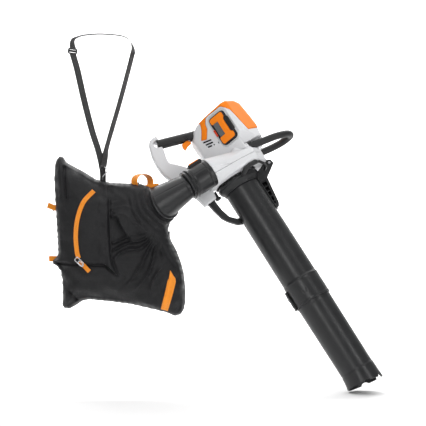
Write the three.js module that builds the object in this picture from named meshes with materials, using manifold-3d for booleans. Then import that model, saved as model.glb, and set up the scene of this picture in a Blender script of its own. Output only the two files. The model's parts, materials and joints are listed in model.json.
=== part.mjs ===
// Battery leaf vacuum and mulcher with catch bag and shoulder strap. Millimetres, +Z up.
// The machine group holds everything rigid; its own frame has x toward the front loop handle,
// y away from the battery side and z up the motor and suction-tube axis. The soft goods hang
// in the outer frame, whose origin is the centre of the rear grip.
import * as THREE from "three";
import { mergeVertices } from "three/addons/utils/BufferGeometryUtils.js";
import Module from "manifold-3d";

const wasm = await Module();
wasm.setup();

// Driving dimensions
const GAP = 0.3; // between pieces that touch
const PITCH = -13; // degrees, the tube leans toward the viewer
const ROLL = -32.1; // degrees, the tube leans to the right
const YAW = 15; // degrees, the outlet turns toward the viewer
const GRIP = new THREE.Vector3(-98, 12, 226); // centre of the rear grip in the machine frame
const FLOOR_Z = 16; // underside of the fan housing
const SPLIT_Z = 42; // joint between the two fan housing shells
const DECK_Z = 64; // top of the scroll, under the motor housing
const WALL = 3.5; // moulded wall
const SCROLL_X = 14; // the scroll is centred a little forward of the motor axis
const SCROLL_START = 90; // scroll radius at the tongue
const SCROLL_END = 108; // scroll radius at the outlet
const DUCT = { y: -60, z: 62, radius: 46, x: -78, tilt: 4 }; // outer end of the outlet duct
const SPIGOT = { radius: 42, bore: 38.5, x: -112 };
const FAN_R = 66;
const TUBE_R = 58.5; // upper suction tube
const TUBE_WALL = 3;
const TUBE_TOP = -21;
const JOINT_Z = -370; // where the sleeve of the upper tube starts
const SLEEVE_END = -446;
const MOUTH_Z = -738;
const MOUTH_R = 53.5;
const HINGE = { x: 119, z: 9, pin: 4 };
const BATTERY_YAW = -42; // degrees, the battery facet turns toward the rear
const BATTERY = { x: 31, y: -80, z: 167, width: 54, height: 100, depth: 104 };
const LOOP = { x: 72, z: 75, tip: 232, near: -62, far: 48, radius: 11.8, drop: 0.11 };
const WEB = 2; // thickness of webbing and doubled cloth

const ORANGE = 0xfa7f14;
const WHITE = 0xe6e7e8;
const BLACK = 0x1d1e20;
const STEEL = 0xa9adb2;
const CLOTH = 0x26272a;

const root = new THREE.Group();
const machine = new THREE.Group();
machine.rotation.set(
  THREE.MathUtils.degToRad(PITCH),
  THREE.MathUtils.degToRad(ROLL),
  THREE.MathUtils.degToRad(YAW),
  "YXZ",
);
machine.position.copy(GRIP).applyEuler(machine.rotation).negate();
root.add(machine);

// ---- geometry helpers ----

// A closed three.js geometry as a solid that can be joined and cut.
function solid(geometry) {
  const bare = geometry.index ? geometry.toNonIndexed() : geometry;
  const positions = new THREE.BufferGeometry();
  positions.setAttribute("position", bare.getAttribute("position"));
  const merged = mergeVertices(positions, 1e-4);
  return new wasm.Manifold(
    new wasm.Mesh({
      numProp: 3,
      vertProperties: new Float32Array(merged.attributes.position.array),
      triVerts: new Uint32Array(merged.index.array),
    }),
  );
}

function geometryOf(body) {
  const mesh = body.getMesh();
  const geometry = new THREE.BufferGeometry();
  geometry.setAttribute("position", new THREE.BufferAttribute(mesh.vertProperties, 3));
  geometry.setIndex(new THREE.BufferAttribute(mesh.triVerts, 1));
  const flat = geometry.toNonIndexed();
  flat.computeVertexNormals();
  return flat;
}

const join = (...bodies) => bodies.reduce((a, b) => a.add(b));
const cut = (body, ...tools) => tools.reduce((a, b) => a.subtract(b), body);

function shapeOf(points, holes = []) {
  const shape = new THREE.Shape(points.map(([x, y]) => new THREE.Vector2(x, y)));
  shape.holes = holes.map((hole) => new THREE.Path(hole.map(([x, y]) => new THREE.Vector2(x, y))));
  return shape;
}

// An outline in x and y, raised from z0 to z1.
function raised(points, z0, z1, holes = []) {
  const options = { depth: z1 - z0, bevelEnabled: false };
  const geometry = new THREE.ExtrudeGeometry(shapeOf(points, holes), options);
  return solid(geometry.translate(0, 0, z0));
}

// An outline in x and z, deep from y0 to y1.
function sideways(points, y0, y1, holes = []) {
  return raised(points, -y1, -y0, holes).rotate([90, 0, 0]);
}

function arc(cx, cy, radius, from, to, steps) {
  return Array.from({ length: steps + 1 }, (_, i) => {
    const angle = THREE.MathUtils.degToRad(from + ((to - from) * i) / steps);
    return [cx + radius * Math.cos(angle), cy + radius * Math.sin(angle)];
  });
}

const circle = (cx, cy, radius, steps = 32) => arc(cx, cy, radius, 0, 360, steps).slice(0, -1);

// A profile of [radius, height] pairs turned about the z axis.
function turned(profile, segments = 40) {
  const points = profile.map(([r, z]) => new THREE.Vector2(r, z));
  const body = solid(new THREE.LatheGeometry(points, segments).rotateX(Math.PI / 2));
  if (body.volume() > 0) return body;
  return solid(reversed(new THREE.LatheGeometry(points, segments).rotateX(Math.PI / 2)));
}

const ring = (outer, inner, z0, z1, segments = 40) =>
  turned([[inner, z0], [outer, z0], [outer, z1], [inner, z1], [inner, z0]], segments);
const disc = (radius, z0, z1, segments = 32) =>
  turned([[0, z0], [radius, z0], [radius, z1], [0, z1]], segments);

function box(x0, x1, y0, y1, z0, z1) {
  const geometry = new THREE.BoxGeometry(x1 - x0, y1 - y0, z1 - z0);
  return solid(geometry.translate((x0 + x1) / 2, (y0 + y1) / 2, (z0 + z1) / 2));
}

// Rings of equal point counts, skinned one to the next and closed at both ends.
function loft(rings) {
  const count = rings[0].length;
  const corners = rings.flat().map(([x, y, z]) => new THREE.Vector3(x, y, z));
  const first = corners.length;
  for (const end of [rings[0], rings.at(-1)]) {
    const middle = new THREE.Vector3();
    end.forEach(([x, y, z]) => middle.add(new THREE.Vector3(x, y, z)));
    corners.push(middle.divideScalar(count));
  }
  const faces = [];
  for (let r = 0; r + 1 < rings.length; r++) {
    for (let i = 0; i < count; i++) {
      const a = r * count + i;
      const b = r * count + ((i + 1) % count);
      faces.push(a, b, b + count, a, b + count, a + count);
    }
  }
  const last = (rings.length - 1) * count;
  for (let i = 0; i < count; i++) {
    faces.push(first, (i + 1) % count, i);
    faces.push(first + 1, last + i, last + ((i + 1) % count));
  }
  const geometry = new THREE.BufferGeometry().setFromPoints(corners);
  geometry.setIndex(faces);
  const body = solid(geometry);
  return body.volume() < 0 ? solid(reversed(geometry)) : body;
}

function reversed(geometry) {
  const index = geometry.index.array;
  const flipped = [];
  for (let i = 0; i < index.length; i += 3) flipped.push(index[i], index[i + 2], index[i + 1]);
  return geometry.clone().setIndex(flipped);
}

// A round rod bent along points.
function rod(points, radius, steps = 24, sides = 12) {
  const spots = points.map((p) => new THREE.Vector3(...p));
  const curve = new THREE.CatmullRomCurve3(spots, false, "centripetal");
  return solid(
    new THREE.ExtrudeGeometry(shapeOf(circle(0, 0, radius, sides)), { steps, extrudePath: curve }),
  );
}

// A flat band through [x, y, z] points; across gives the width direction at each point.
function band(points, across, width, thickness) {
  const spots = points.map((p) => new THREE.Vector3(...p));
  const rings = spots.map((spot, i) => {
    const before = spots[Math.max(i - 1, 0)];
    const after = spots[Math.min(i + 1, spots.length - 1)];
    const along = after.clone().sub(before).normalize();
    const side = new THREE.Vector3(...across[Math.min(i, across.length - 1)]);
    side.addScaledVector(along, -side.dot(along)).normalize();
    const up = new THREE.Vector3().crossVectors(along, side);
    return [[-1, -1], [1, -1], [1, 1], [-1, 1]].map(([s, u]) =>
      spot
        .clone()
        .addScaledVector(side, (s * width) / 2)
        .addScaledVector(up, (u * thickness) / 2)
        .toArray(),
    );
  });
  return loft(rings);
}

function add(group, name, body, color, metalness = 0, roughness = 0.5) {
  const material = new THREE.MeshStandardMaterial({ color, metalness, roughness });
  const mesh = new THREE.Mesh(geometryOf(body), material);
  mesh.name = name;
  group.add(mesh);
  return mesh;
}

const plastic = (name, body, color) => add(machine, name, body, color, 0, 0.5);
const metal = (name, body) => add(machine, name, body, STEEL, 0.9, 0.35);
const cloth = (name, body, color) => add(root, name, body, color, 0, 0.9);
const fitting = (name, body) => add(root, name, body, STEEL, 0.9, 0.35);

// A convex outline moved inward by a distance on every side.
function inset(points, distance) {
  return points.map((corner, i) => {
    const before = points[(i + points.length - 1) % points.length];
    const after = points[(i + 1) % points.length];
    const [nx1, ny1] = inward(before, corner);
    const [nx2, ny2] = inward(corner, after);
    const reach = distance / (1 + nx1 * nx2 + ny1 * ny2);
    return [corner[0] + (nx1 + nx2) * reach, corner[1] + (ny1 + ny2) * reach];
  });
}

function inward([x0, y0], [x1, y1]) {
  const length = Math.hypot(x1 - x0, y1 - y0);
  return [-(y1 - y0) / length, (x1 - x0) / length];
}

// A solid built along z, laid down so that its z runs toward the bag, dropping by the duct's
// tilt. Its z is the distance from the fan's axis, and its x points up.
const alongDuct = (body) =>
  body
    .translate([0, 0, DUCT.x])
    .rotate([0, -90 - DUCT.tilt, 0])
    .translate([DUCT.x, DUCT.y, DUCT.z]);

// ---- fan housing ----

function scrollOutline(offset) {
  const points = [];
  for (let angle = 180; angle >= -90; angle -= 9) {
    const share = (180 - angle) / 270;
    const radius = SCROLL_START + (SCROLL_END - SCROLL_START) * share - offset;
    const turn = THREE.MathUtils.degToRad(angle);
    points.push([SCROLL_X + radius * Math.cos(turn), radius * Math.sin(turn)]);
  }
  return points.reverse();
}

// The outlet duct: a small ring at the front of the scroll swells to the round outlet,
// whose end is square to the tilted axis.
function ductBody(offset, past = 0) {
  const rings = [
    [68, -78, 40, 25, 0],
    [20, -70, 48, 32, 0],
    [-40, -63, 57, 40, 0],
    [DUCT.x - past, DUCT.y, DUCT.z, DUCT.radius, Math.tan(THREE.MathUtils.degToRad(DUCT.tilt))],
  ];
  return loft(
    rings.map(([x, y, z, radius, lean]) =>
      circle(0, 0, radius - offset).map(([a, b]) => [x - b * lean, y + a, z + b]),
    ),
  );
}

function fanHousing() {
  const outer = join(
    raised(scrollOutline(0), FLOOR_Z, DECK_Z - GAP),
    ductBody(0),
    hingeLug(),
  );
  const hollow = cut(
    outer,
    raised(scrollOutline(WALL), FLOOR_Z + WALL, DECK_Z - WALL - GAP),
    ductBody(WALL, 2),
    disc(FAN_R + 3, 22, 53),
    disc(50, FLOOR_Z - 1, FLOOR_Z + WALL + 1),
    disc(9.5, DECK_Z - WALL - 5, DECK_Z + 1),
    hingePin(HINGE.pin + GAP),
    hingeEars(GAP + 0.7),
  );
  const step = ring(DUCT.radius - 1, SPIGOT.bore, -DUCT.x - 6, -DUCT.x - 0.2);
  const spigot = ring(SPIGOT.radius, SPIGOT.bore, -DUCT.x - 4, -SPIGOT.x);
  return join(hollow, alongDuct(step), alongDuct(spigot));
}

function hingeLug() {
  const plate = join(
    sideways(circle(HINGE.x, HINGE.z, 11, 24), -9, 9),
    box(HINGE.x - 18, HINGE.x + 6, -9, 9, HINGE.z + 2, FLOOR_Z + 18),
  );
  return plate;
}

const hingePin = (radius) => sideways(circle(HINGE.x, HINGE.z, radius, 20), -18, 18);

function hingeEars(clearance) {
  const side = circle(HINGE.x, HINGE.z, 11.5 + clearance, 24);
  return join(
    sideways(side, 9.5 - clearance, 16 + clearance),
    sideways(side, -16 - clearance, -9.5 + clearance),
  );
}

const splitUpper = () => box(-400, 400, -400, 400, SPLIT_Z + GAP / 2, 400);
const splitLower = () => box(-400, 400, -400, 400, -400, SPLIT_Z - GAP / 2);
const fan = fanHousing();
const fanUpper = join(fan.intersect(splitUpper()), loopSockets(0));
plastic("fan_housing_upper", cut(fanUpper, loopLegs(GAP + 0.1)), WHITE);
plastic("fan_housing_lower", fan.intersect(splitLower()), WHITE);

// ---- front loop handle ----

function loopPath(extra) {
  const height = (x) => LOOP.z - LOOP.drop * (x - LOOP.x);
  const spots = [
    [LOOP.x - 16 - extra, LOOP.near],
    [LOOP.x + 60, LOOP.near],
    [LOOP.x + 105, LOOP.near + 4],
    [LOOP.tip - 18, LOOP.near + 22],
    [LOOP.tip, (LOOP.near + LOOP.far) / 2],
    [LOOP.tip - 18, LOOP.far - 22],
    [LOOP.x + 105, LOOP.far - 4],
    [LOOP.x + 60, LOOP.far],
    [LOOP.x - 16 - extra, LOOP.far],
  ];
  return spots.map(([x, y]) => [x, y, height(x)]);
}

function loopLegs(clearance) {
  return rod(loopPath(clearance), LOOP.radius + clearance, 36, 14);
}

// The two white sockets on the deck that take the handle's legs.
function loopSockets(clearance) {
  const socket = (y) => {
    const barrel = rod(
      [
        [LOOP.x - 30, y, LOOP.z + 3],
        [LOOP.x + 1, y, LOOP.z],
      ],
      LOOP.radius + 4 + clearance,
      2,
      20,
    );
    const foot = box(
      LOOP.x - 28 - clearance,
      LOOP.x + clearance,
      y - 11 - clearance,
      y + 11 + clearance,
      DECK_Z - 2,
      LOOP.z,
    );
    return join(barrel, foot);
  };
  return join(socket(LOOP.near), socket(LOOP.far));
}
plastic("front_loop", loopLegs(0), BLACK);

// ---- motor housing, orange cover, battery bay ----

const SIDE = [
  [-52, DECK_Z],
  [131, DECK_Z],
  [145, 136],
  [129, 220],
  [111, 234],
  [80, 237],
  [12, 233],
  [-22, 224],
  [-57, 206],
  [-57, 150],
];
const PLAN = [
  [62, -100],
  [80, -100],
  [143, -48],
  [143, 48],
  [100, 80],
  [0, 80],
  [-57, 48],
  [-57, 7],
];

function housingBody(offset) {
  return sideways(inset(SIDE, offset), -110, 110).intersect(raised(inset(PLAN, offset), 0, 300));
}

// The cover's outline from the side: an arch over the top with its inner edge round the battery.
const COVER = [
  [-33, 180],
  [-19, 172],
  [-1, 201],
  [4, 219],
  [13, 229],
  [61, 221],
  [79, 192],
  [95, 118],
  [170, 118],
  [170, 270],
  [-6, 270],
  [-8, 230],
  [-18, 206],
];

// Battery pieces are built with x across, y inward and z up from the middle of the face.
const atBattery = (body) =>
  body.rotate([0, 0, BATTERY_YAW]).translate([BATTERY.x, BATTERY.y, BATTERY.z]);

function batteryBlock(clearance, front, back) {
  const x = BATTERY.width / 2 + clearance;
  const z = BATTERY.height / 2 + clearance;
  const corner = 9;
  const outline = [
    [-x + corner, -z],
    [x - corner, -z],
    [x, -z + corner],
    [x, z - corner],
    [x - corner, z],
    [-x + corner, z],
    [-x, z - corner],
    [-x, -z + corner],
  ];
  return sideways(outline, front, back);
}

// The housing steps back over the deck at the front to let the handle's legs out.
function loopRoom() {
  const top = LOOP.z + LOOP.radius + 5;
  const near = box(LOOP.x - 24, 400, -400, LOOP.near + LOOP.radius + 6, 0, top);
  const far = box(LOOP.x - 24, 400, LOOP.far - LOOP.radius - 6, 400, 0, top);
  return join(near, far);
}

const FACET = 6; // the battery stands this far out of its facet
const bay = atBattery(
  cut(batteryBlock(3.2, FACET + 4, BATTERY.depth - 4), batteryBlock(1.2, FACET, BATTERY.depth - 6.5)),
);
const bayRoom = atBattery(batteryBlock(3.2 + GAP, FACET - 5, BATTERY.depth - 4 + GAP));
const shell = cut(
  housingBody(0),
  housingBody(WALL),
  housingBody(WALL).translate([0, 0, -2 * WALL]),
  bayRoom,
  ductBody(-GAP - 0.3),
  loopSockets(GAP + 0.3),
  loopRoom(),
);
const coverSides = sideways(COVER, -120, 120);
plastic("top_cover", shell.intersect(sideways(inset(COVER, GAP), -120, 120)), ORANGE);
const vents = join(
  ...[0, 1, 2].map((row) =>
    box(-54 + 4 * row, -30 + 2 * row, -40, 6, 150 - 11 * row, 155 - 11 * row),
  ),
);
const whites = cut(shell, coverSides, vents);
plastic("motor_housing_near", whites.intersect(box(-400, 400, -400, -GAP / 2, 0, 400)), WHITE);
plastic("motor_housing_far", whites.intersect(box(-400, 400, GAP / 2, 400, 0, 400)), WHITE);
plastic("battery_bay", bay, BLACK);

// ---- battery ----

function batteryPieces() {
  const railSide = join(
    box(24, 33, 0.8, FACET - 0.6, -26, 24),
    box(27.2, 31, 0.8, FACET - 0.6, -34, 32),
  );
  const body = join(
    batteryBlock(0, FACET, BATTERY.depth - 12),
    batteryBlock(-3, 0.8, FACET + 1),
    railSide,
  );
  const frame = cut(body, batteryBlock(-5, -1, 3.8));
  const latch = box(-30.5, -24.2, 0.2, FACET - 0.8, -26, -4);
  const latchRoom = box(-32, -22.4, -1, FACET - 0.5, -26.4, -3.6);
  const labelRoom = box(-21.4, -3.6, -2, 3.6, -22.4, 20.4);
  const face = cut(batteryBlock(-5 - GAP, -1, 3.5), labelRoom, latchRoom);
  plastic("battery_case", atBattery(cut(frame, latchRoom)), BLACK);
  plastic("battery_face", atBattery(face), ORANGE);
  plastic("battery_label", atBattery(box(-21, -4, -0.2, 3.4, -22, 20)), 0x6c7074);
  plastic("battery_release", atBattery(latch), 0xd8451d);
}
batteryPieces();
plastic(
  "contact_block",
  atBattery(box(-18, 18, BATTERY.depth - 11.4, BATTERY.depth - 7, -30, 30)),
  BLACK,
);
plastic("control_board", box(-20, 66, 62, 64, 96, 176), 0x2d5a3a);

// ---- motor, fan and shredder ----

const can = ring(28.5, 26.6, DECK_Z + 0.6, 152, 32).add(ring(28.5, 9.4, 150, 156, 32));
metal("motor_can", can);
metal("motor_stator", ring(26.2, 16, 96, 140, 32));
metal("rotor_core", ring(15, 4.3, 92, 144, 24));
metal("rotor_shaft", disc(4, 2, 160, 20));
metal("bearing_upper", ring(9, 4.3, 150, 156, 24));
metal("bearing_lower", ring(9, 4.3, DECK_Z - WALL - 0.3, DECK_Z + 2, 24));

function impeller() {
  const plate = ring(FAN_R, 4.3, 47, 50, 36).add(ring(15, 4.3, 24, 50, 24));
  const blade = box(14, FAN_R - 1, -1.5, 1.5, 24, 48);
  const blades = Array.from({ length: 8 }, (_, i) => blade.rotate([0, 0, 45 * i]));
  return join(plate, ...blades);
}
metal("fan_impeller", impeller());
metal(
  "shredder_blade",
  cut(box(-42, 42, -8, 8, 20, 23).intersect(disc(42, 10, 30)), disc(4.3, 10, 30, 20)),
);
metal("hub_nut", cut(disc(9, 12, 19.6, 6), disc(4.3, 0, 30, 20)));

// ---- rear handle ----

const GRIP_ENDS = [
  [-158, 12, 244],
  [-30, 12, 212],
];
const HOOP = [
  [-157, 261],
  [-169, 258],
  [-175, 250],
  [-185, 216],
  [-190, 178],
  [-185, 144],
  [-175, 121],
  [-134, 31],
  [-125, -3],
  [-96, 2],
  [-92, 28],
  [-78, 46],
  [-78, 84],
  [-122, 122],
  [-149, 150],
  [-162, 160],
  [-168, 171],
  [-167, 191],
  [-160, 219],
];
const TRIGGER_PIN = [-63, 204];
const POCKET = [
  [-97, 196],
  [-58, 190],
  [-58, 212],
  [-69, 215],
  [-69, 228.5],
  [-89, 228.5],
  [-89, 218],
  [-97, 218],
];
const gripRod = (radius) => rod(GRIP_ENDS, radius, 6, 20);
const triggerPin = (radius) => sideways(circle(...TRIGGER_PIN, radius, 16), 0, 24);
const buttonHole = rod([[-66, -8, 219], [-66, 4.5, 219]], 5, 2, 20);
plastic(
  "rear_grip",
  cut(gripRod(16.5), housingBody(-GAP - 0.2), sideways(POCKET, 4, 20), triggerPin(1.8), buttonHole),
  BLACK,
);
plastic("lockout_button", rod([[-66, -7.5, 219], [-66, 0.8, 219]], 4.6, 2, 16), BLACK);
plastic(
  "handle_hoop",
  cut(sideways(HOOP, -1, 25), gripRod(16.5 + GAP + 0.2), rod([[-165, -2, 246], [-165, 9, 246]], 2.5, 2, 16)),
  WHITE,
);
const screwHead = rod([[-165, -3.6, 246], [-165, -1.4, 246]], 5, 2, 20);
metal("hoop_screw", screwHead.add(rod([[-165, -2, 246], [-165, 8, 246]], 2.1, 2, 16)));

const TRIGGER = [
  [-88, 207],
  [-92, 197],
  [-90.5, 186],
  [-85, 183.5],
  [-77, 190],
  [-68, 193],
  [-59.5, 195],
  [-59, 208],
  [-68, 210],
];
plastic("trigger", cut(sideways(TRIGGER, 5, 19), triggerPin(1.8)), ORANGE);
metal("trigger_pin", triggerPin(1.5));
plastic("trigger_switch", box(-88, -70, 7, 17, 221, 227.5), BLACK);

// ---- suction tube ----

function collar() {
  const skirt = turned([
    [57, TUBE_TOP],
    [TUBE_R + 2, TUBE_TOP],
    [TUBE_R + 3, TUBE_TOP + 6],
    [70, -4],
    [70, 11],
    [57, 11],
    [57, TUBE_TOP],
  ]);
  const gusset = [
    [TUBE_R + 1, TUBE_TOP + 8],
    [TUBE_R + 1, -128],
    [66, -128],
    [71, -119],
    [84, -28],
    [HINGE.x + 8, HINGE.z - 6],
    [HINGE.x - 8, HINGE.z + 5],
    [70, -2],
  ];
  const ear = circle(HINGE.x, HINGE.z, 11.5, 24);
  const side = (y0, y1) => join(sideways(gusset, y0, y1), sideways(ear, y0, y1));
  const ribs = [0, 1, 2, 3, 4].map((i) =>
    box(TUBE_R + 1, 78 - 3 * i, -10, 10, -38 - 18 * i, -35 - 18 * i),
  );
  return cut(
    join(skirt, side(9.5, 16), side(-16, -9.5), ...ribs),
    disc(57, -200, 20),
    disc(TUBE_R + GAP, -200, TUBE_TOP + GAP),
    hingePin(HINGE.pin + GAP),
  );
}
plastic("tube_collar", collar(), BLACK);
metal("hinge_pin", hingePin(HINGE.pin));

const upperTube = turned([
  [TUBE_R - TUBE_WALL, TUBE_TOP],
  [TUBE_R - TUBE_WALL, JOINT_Z - 4],
  [TUBE_R - 1.6, JOINT_Z - 6],
  [TUBE_R - 1.6, SLEEVE_END],
  [TUBE_R + 1.4, SLEEVE_END],
  [TUBE_R + 1.4, JOINT_Z],
  [TUBE_R - 0.4, JOINT_Z + 4],
  [TUBE_R - 0.4, TUBE_TOP],
  [TUBE_R - TUBE_WALL, TUBE_TOP],
]);
plastic("tube_upper", upperTube, BLACK);

function lowerTube() {
  const pipe = turned([
    [TUBE_R - 4.8, JOINT_Z - 7],
    [TUBE_R - 1.9, JOINT_Z - 7],
    [TUBE_R - 1.9, SLEEVE_END - 6],
    [MOUTH_R, MOUTH_Z + 50],
    [MOUTH_R + 4, MOUTH_Z - 40],
    [MOUTH_R + 1.2, MOUTH_Z - 40],
    [MOUTH_R - 2.8, MOUTH_Z + 50],
    [TUBE_R - 4.8, SLEEVE_END - 6],
    [TUBE_R - 4.8, JOINT_Z - 7],
  ]);
  const bites = [];
  for (let i = 0; i < 6; i++) {
    const turn = THREE.MathUtils.degToRad(60 * i + 20);
    const end = [110 * Math.cos(turn), 110 * Math.sin(turn), MOUTH_Z - 16];
    bites.push(rod([[0, 0, MOUTH_Z - 16], end], 14, 2, 18));
  }
  const floor = sideways([[-120, -728], [120, -764], [120, -900], [-120, -900]], -120, 120);
  return cut(pipe, floor, ...bites);
}
plastic("tube_lower", lowerTube(), BLACK);
plastic("sleeve_clip", box(-67, -60.5, -9, 9, -448, -380), BLACK);

const BOW = [
  [-122, -5],
  [-96, 0],
  [-95, -22],
  [-92, -49],
  [-83, -79],
  [-67, -95],
  [-50, -101],
  [-50, -124],
  [-73, -115],
  [-97, -89],
  [-108, -70],
  [-116, -38],
];
plastic("tube_bow", cut(sideways(BOW, 3, 22), disc(TUBE_R + GAP, -200, 10)), BLACK);
plastic("tube_latch", join(box(-90, -77, 4, 20, -14, 15), box(-90, -72.6, 4, 20, -14, -6)), BLACK);

// ---- outlet adapter ----

const collarRing = ring(DUCT.radius, SPIGOT.radius + GAP + 0.2, -DUCT.x + GAP, 146);
plastic("elbow_collar", alongDuct(collarRing), BLACK);
const LIPS = [
  [36, 146.4],
  [47.5, 146.4],
  [48.5, 149],
  [47.5, 152],
  [44, 154],
  [44, 157],
  [47, 159],
  [47, 163],
  [43, 165],
  [36, 165],
  [36, 146.4],
];
plastic("elbow_ring", alongDuct(turned(LIPS)), BLACK);
const CONE_END = 262;
const CONE = [
  [35.5, 165.4],
  [39, 165.4],
  [54.5, CONE_END - 4],
  [57, CONE_END - 3],
  [57, CONE_END],
  [51.5, CONE_END],
  [35.5, 165.4],
];
plastic("elbow_cone", alongDuct(turned(CONE)), BLACK);
const latchBlock = cut(box(38, 51, -24, 12, 84, 132), disc(DUCT.radius + GAP, 60, 150, 40));
plastic("elbow_latch", alongDuct(latchBlock), BLACK);

// ---- catch bag ----

const BAG = {
  front: -270,
  seam: -170,
  rear: -92,
  centre: [-165, -320],
  cloth: 2.5,
};
const BAG_OUTLINE = [
  [-370, -80],
  [-363, -61],
  [-348, -58],
  [-322, -83],
  [-276, -108],
  [-245, -128],
  [-198, -139],
  [-116, -142],
  [-83, -167],
  [-50, -222],
  [-20, -277],
  [-15, -310],
  [6, -348],
  [26, -410],
  [33, -465],
  [33, -510],
  [26, -538],
  [8, -549],
  [-59, -531],
  [-136, -512],
  [-260, -497],
  [-288, -504],
  [-320, -525],
  [-343, -523],
  [-346, -450],
  [-352, -400],
  [-360, -330],
  [-364, -255],
  [-371, -130],
];
// How far the panel stands out, and how much of the outline it still fills there.
const BULGE = [
  [0, 1],
  [0.45, 0.95],
  [0.8, 0.8],
  [1, 0.5],
];

function pillow(depth, shrink) {
  const [cx, cz] = BAG.centre;
  const reach = depth - Math.sign(depth) * shrink;
  const rings = BULGE.map(([out, fill]) =>
    BAG_OUTLINE.map(([x, z]) => {
      const scale = fill * (1 - shrink / 190);
      return [cx + (x - cx) * scale, BAG.seam + reach * out, cz + (z - cz) * scale];
    }),
  );
  return loft(rings);
}

const neckAxis = (body) => {
  const matrix = new THREE.Matrix4().makeRotationFromEuler(machine.rotation);
  matrix.setPosition(machine.position);
  return body.transform(matrix.elements);
};
const neckRoom = neckAxis(alongDuct(disc(64, 200, 330, 32)));

function panel(depth) {
  const bowl = cut(pillow(depth, 0), pillow(depth, BAG.cloth));
  const edge = (Math.sign(depth) * GAP) / 2;
  const [low, high] = depth < 0 ? [-900, BAG.seam + edge] : [BAG.seam + edge, 900];
  return cut(bowl.intersect(box(-900, 900, low, high, -900, 900)), neckRoom);
}
cloth("bag_front", panel(BAG.front - BAG.seam), CLOTH);
cloth("bag_rear", panel(BAG.rear - BAG.seam), CLOTH);
const NECK = [
  [58, CONE_END + 14],
  [62, CONE_END + 14],
  [63.5, CONE_END + 46],
  [59.5, CONE_END + 46],
  [58, CONE_END + 14],
];
cloth("bag_neck", neckAxis(alongDuct(turned(NECK))), CLOTH);
const neckRing = ring(62, 54, CONE_END + GAP, CONE_END + 14 - GAP);
cloth("neck_band", neckAxis(alongDuct(neckRing)), 0x2f3033);

// Distance the cloth stands out from the seam at a place on the panel.
function bulgeAt(x, z, depth) {
  const [cx, cz] = BAG.centre;
  const share = outlineShare(x - cx, z - cz);
  for (let i = 1; i < BULGE.length; i++) {
    const [out0, fill0] = BULGE[i - 1];
    const [out1, fill1] = BULGE[i];
    if (share >= fill1) return depth * (out0 + ((out1 - out0) * (fill0 - share)) / (fill0 - fill1));
  }
  return depth;
}

// How far out toward the outline a place is: 0 at the middle, 1 on the outline.
function outlineShare(dx, dz) {
  const [cx, cz] = BAG.centre;
  for (let i = 0; i < BAG_OUTLINE.length; i++) {
    const [ax, az] = BAG_OUTLINE[i];
    const [bx, bz] = BAG_OUTLINE[(i + 1) % BAG_OUTLINE.length];
    const [px, pz, qx, qz] = [ax - cx, az - cz, bx - cx, bz - cz];
    const area = px * qz - pz * qx;
    const u = (dx * qz - dz * qx) / area;
    const v = (px * dz - pz * dx) / area;
    if (u >= 0 && v >= 0) return u + v;
  }
  return 1;
}

// A strip of webbing lying on the front panel through [x, z] points.
function onFront(points, width, lift) {
  const depth = BAG.front - BAG.seam;
  const spots = [];
  for (let i = 0; i + 1 < points.length; i++) {
    for (let k = 0; k < 4; k++) {
      const x = points[i][0] + ((points[i + 1][0] - points[i][0]) * k) / 4;
      const z = points[i][1] + ((points[i + 1][1] - points[i][1]) * k) / 4;
      spots.push([x, z]);
    }
  }
  spots.push(points.at(-1));
  const path = spots.map(([x, z]) => [x, BAG.seam + bulgeAt(x, z, depth) - lift, z]);
  const across = path.map(([x, , z], i) => {
    const [bx, , bz] = path[Math.max(i - 1, 0)];
    const [ax, , az] = path[Math.min(i + 1, path.length - 1)];
    return [-(az - bz), 0, ax - bx];
  });
  return band(path, across, width, WEB);
}

const ZIP = [
  [-244, -164],
  [-273, -198],
  [-290, -246],
  [-296, -300],
  [-293, -347],
  [-288, -361],
];
const STRIPE = [
  [6, -421],
  [-5, -450],
  [-33, -514],
];
cloth("zip_tape", onFront(ZIP, 13, 5), ORANGE);
cloth("corner_stripe", onFront(STRIPE, 22, 14), ORANGE);

// The slider sits at the lower end of the zip; its ring and pull hang from it.
const ZIP_END = [-286, BAG.seam + bulgeAt(-286, -371, BAG.front - BAG.seam), -371];

function around([x, y, z], dx, dy, dz) {
  return box(x - dx / 2, x + dx / 2, y - dy / 2, y + dy / 2, z - dz / 2, z + dz / 2);
}

const [zx, zy, zz] = ZIP_END;
fitting("zip_slider", around([zx, zy - 7, zz], 10, 5, 14));
const pullRing = new THREE.TorusGeometry(9, 1.3, 8, 24);
fitting("zip_ring", solid(pullRing).translate([zx, zy - 11.5, zz - 18]));
cloth(
  "zip_pull",
  band(
    [
      [zx + 6, zy - 10, zz - 30],
      [zx + 16, zy - 13, zz - 38],
      [zx + 32, zy - 14, zz - 46],
    ],
    [[0.5, 0, 1]],
    12,
    WEB,
  ),
  ORANGE,
);

// A loop of webbing whose ends sit on the top seam. It crosses the seam at a slant.
const CARRY = [
  [-121, -188, -137],
  [-122, -188, -121],
  [-113, -184, -109],
  [-99, -177, -104],
  [-86, -168, -109],
  [-79, -163, -121],
  [-79, -162, -136],
];
cloth("carry_loop", band(CARRY, [[0.8, 0.6, 0]], 26, WEB), ORANGE);
function tab(x, z) {
  const path = [[x, BAG.seam, z + 9], [x - 18, BAG.seam, z], [x + 2, BAG.seam, z - 9]];
  return band(path, [[0, 1, 0]], 22, WEB);
}
cloth("side_tab_upper", tab(-373, -214), ORANGE);
cloth("side_tab_lower", tab(-367, -374), ORANGE);

// ---- shoulder strap ----

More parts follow.
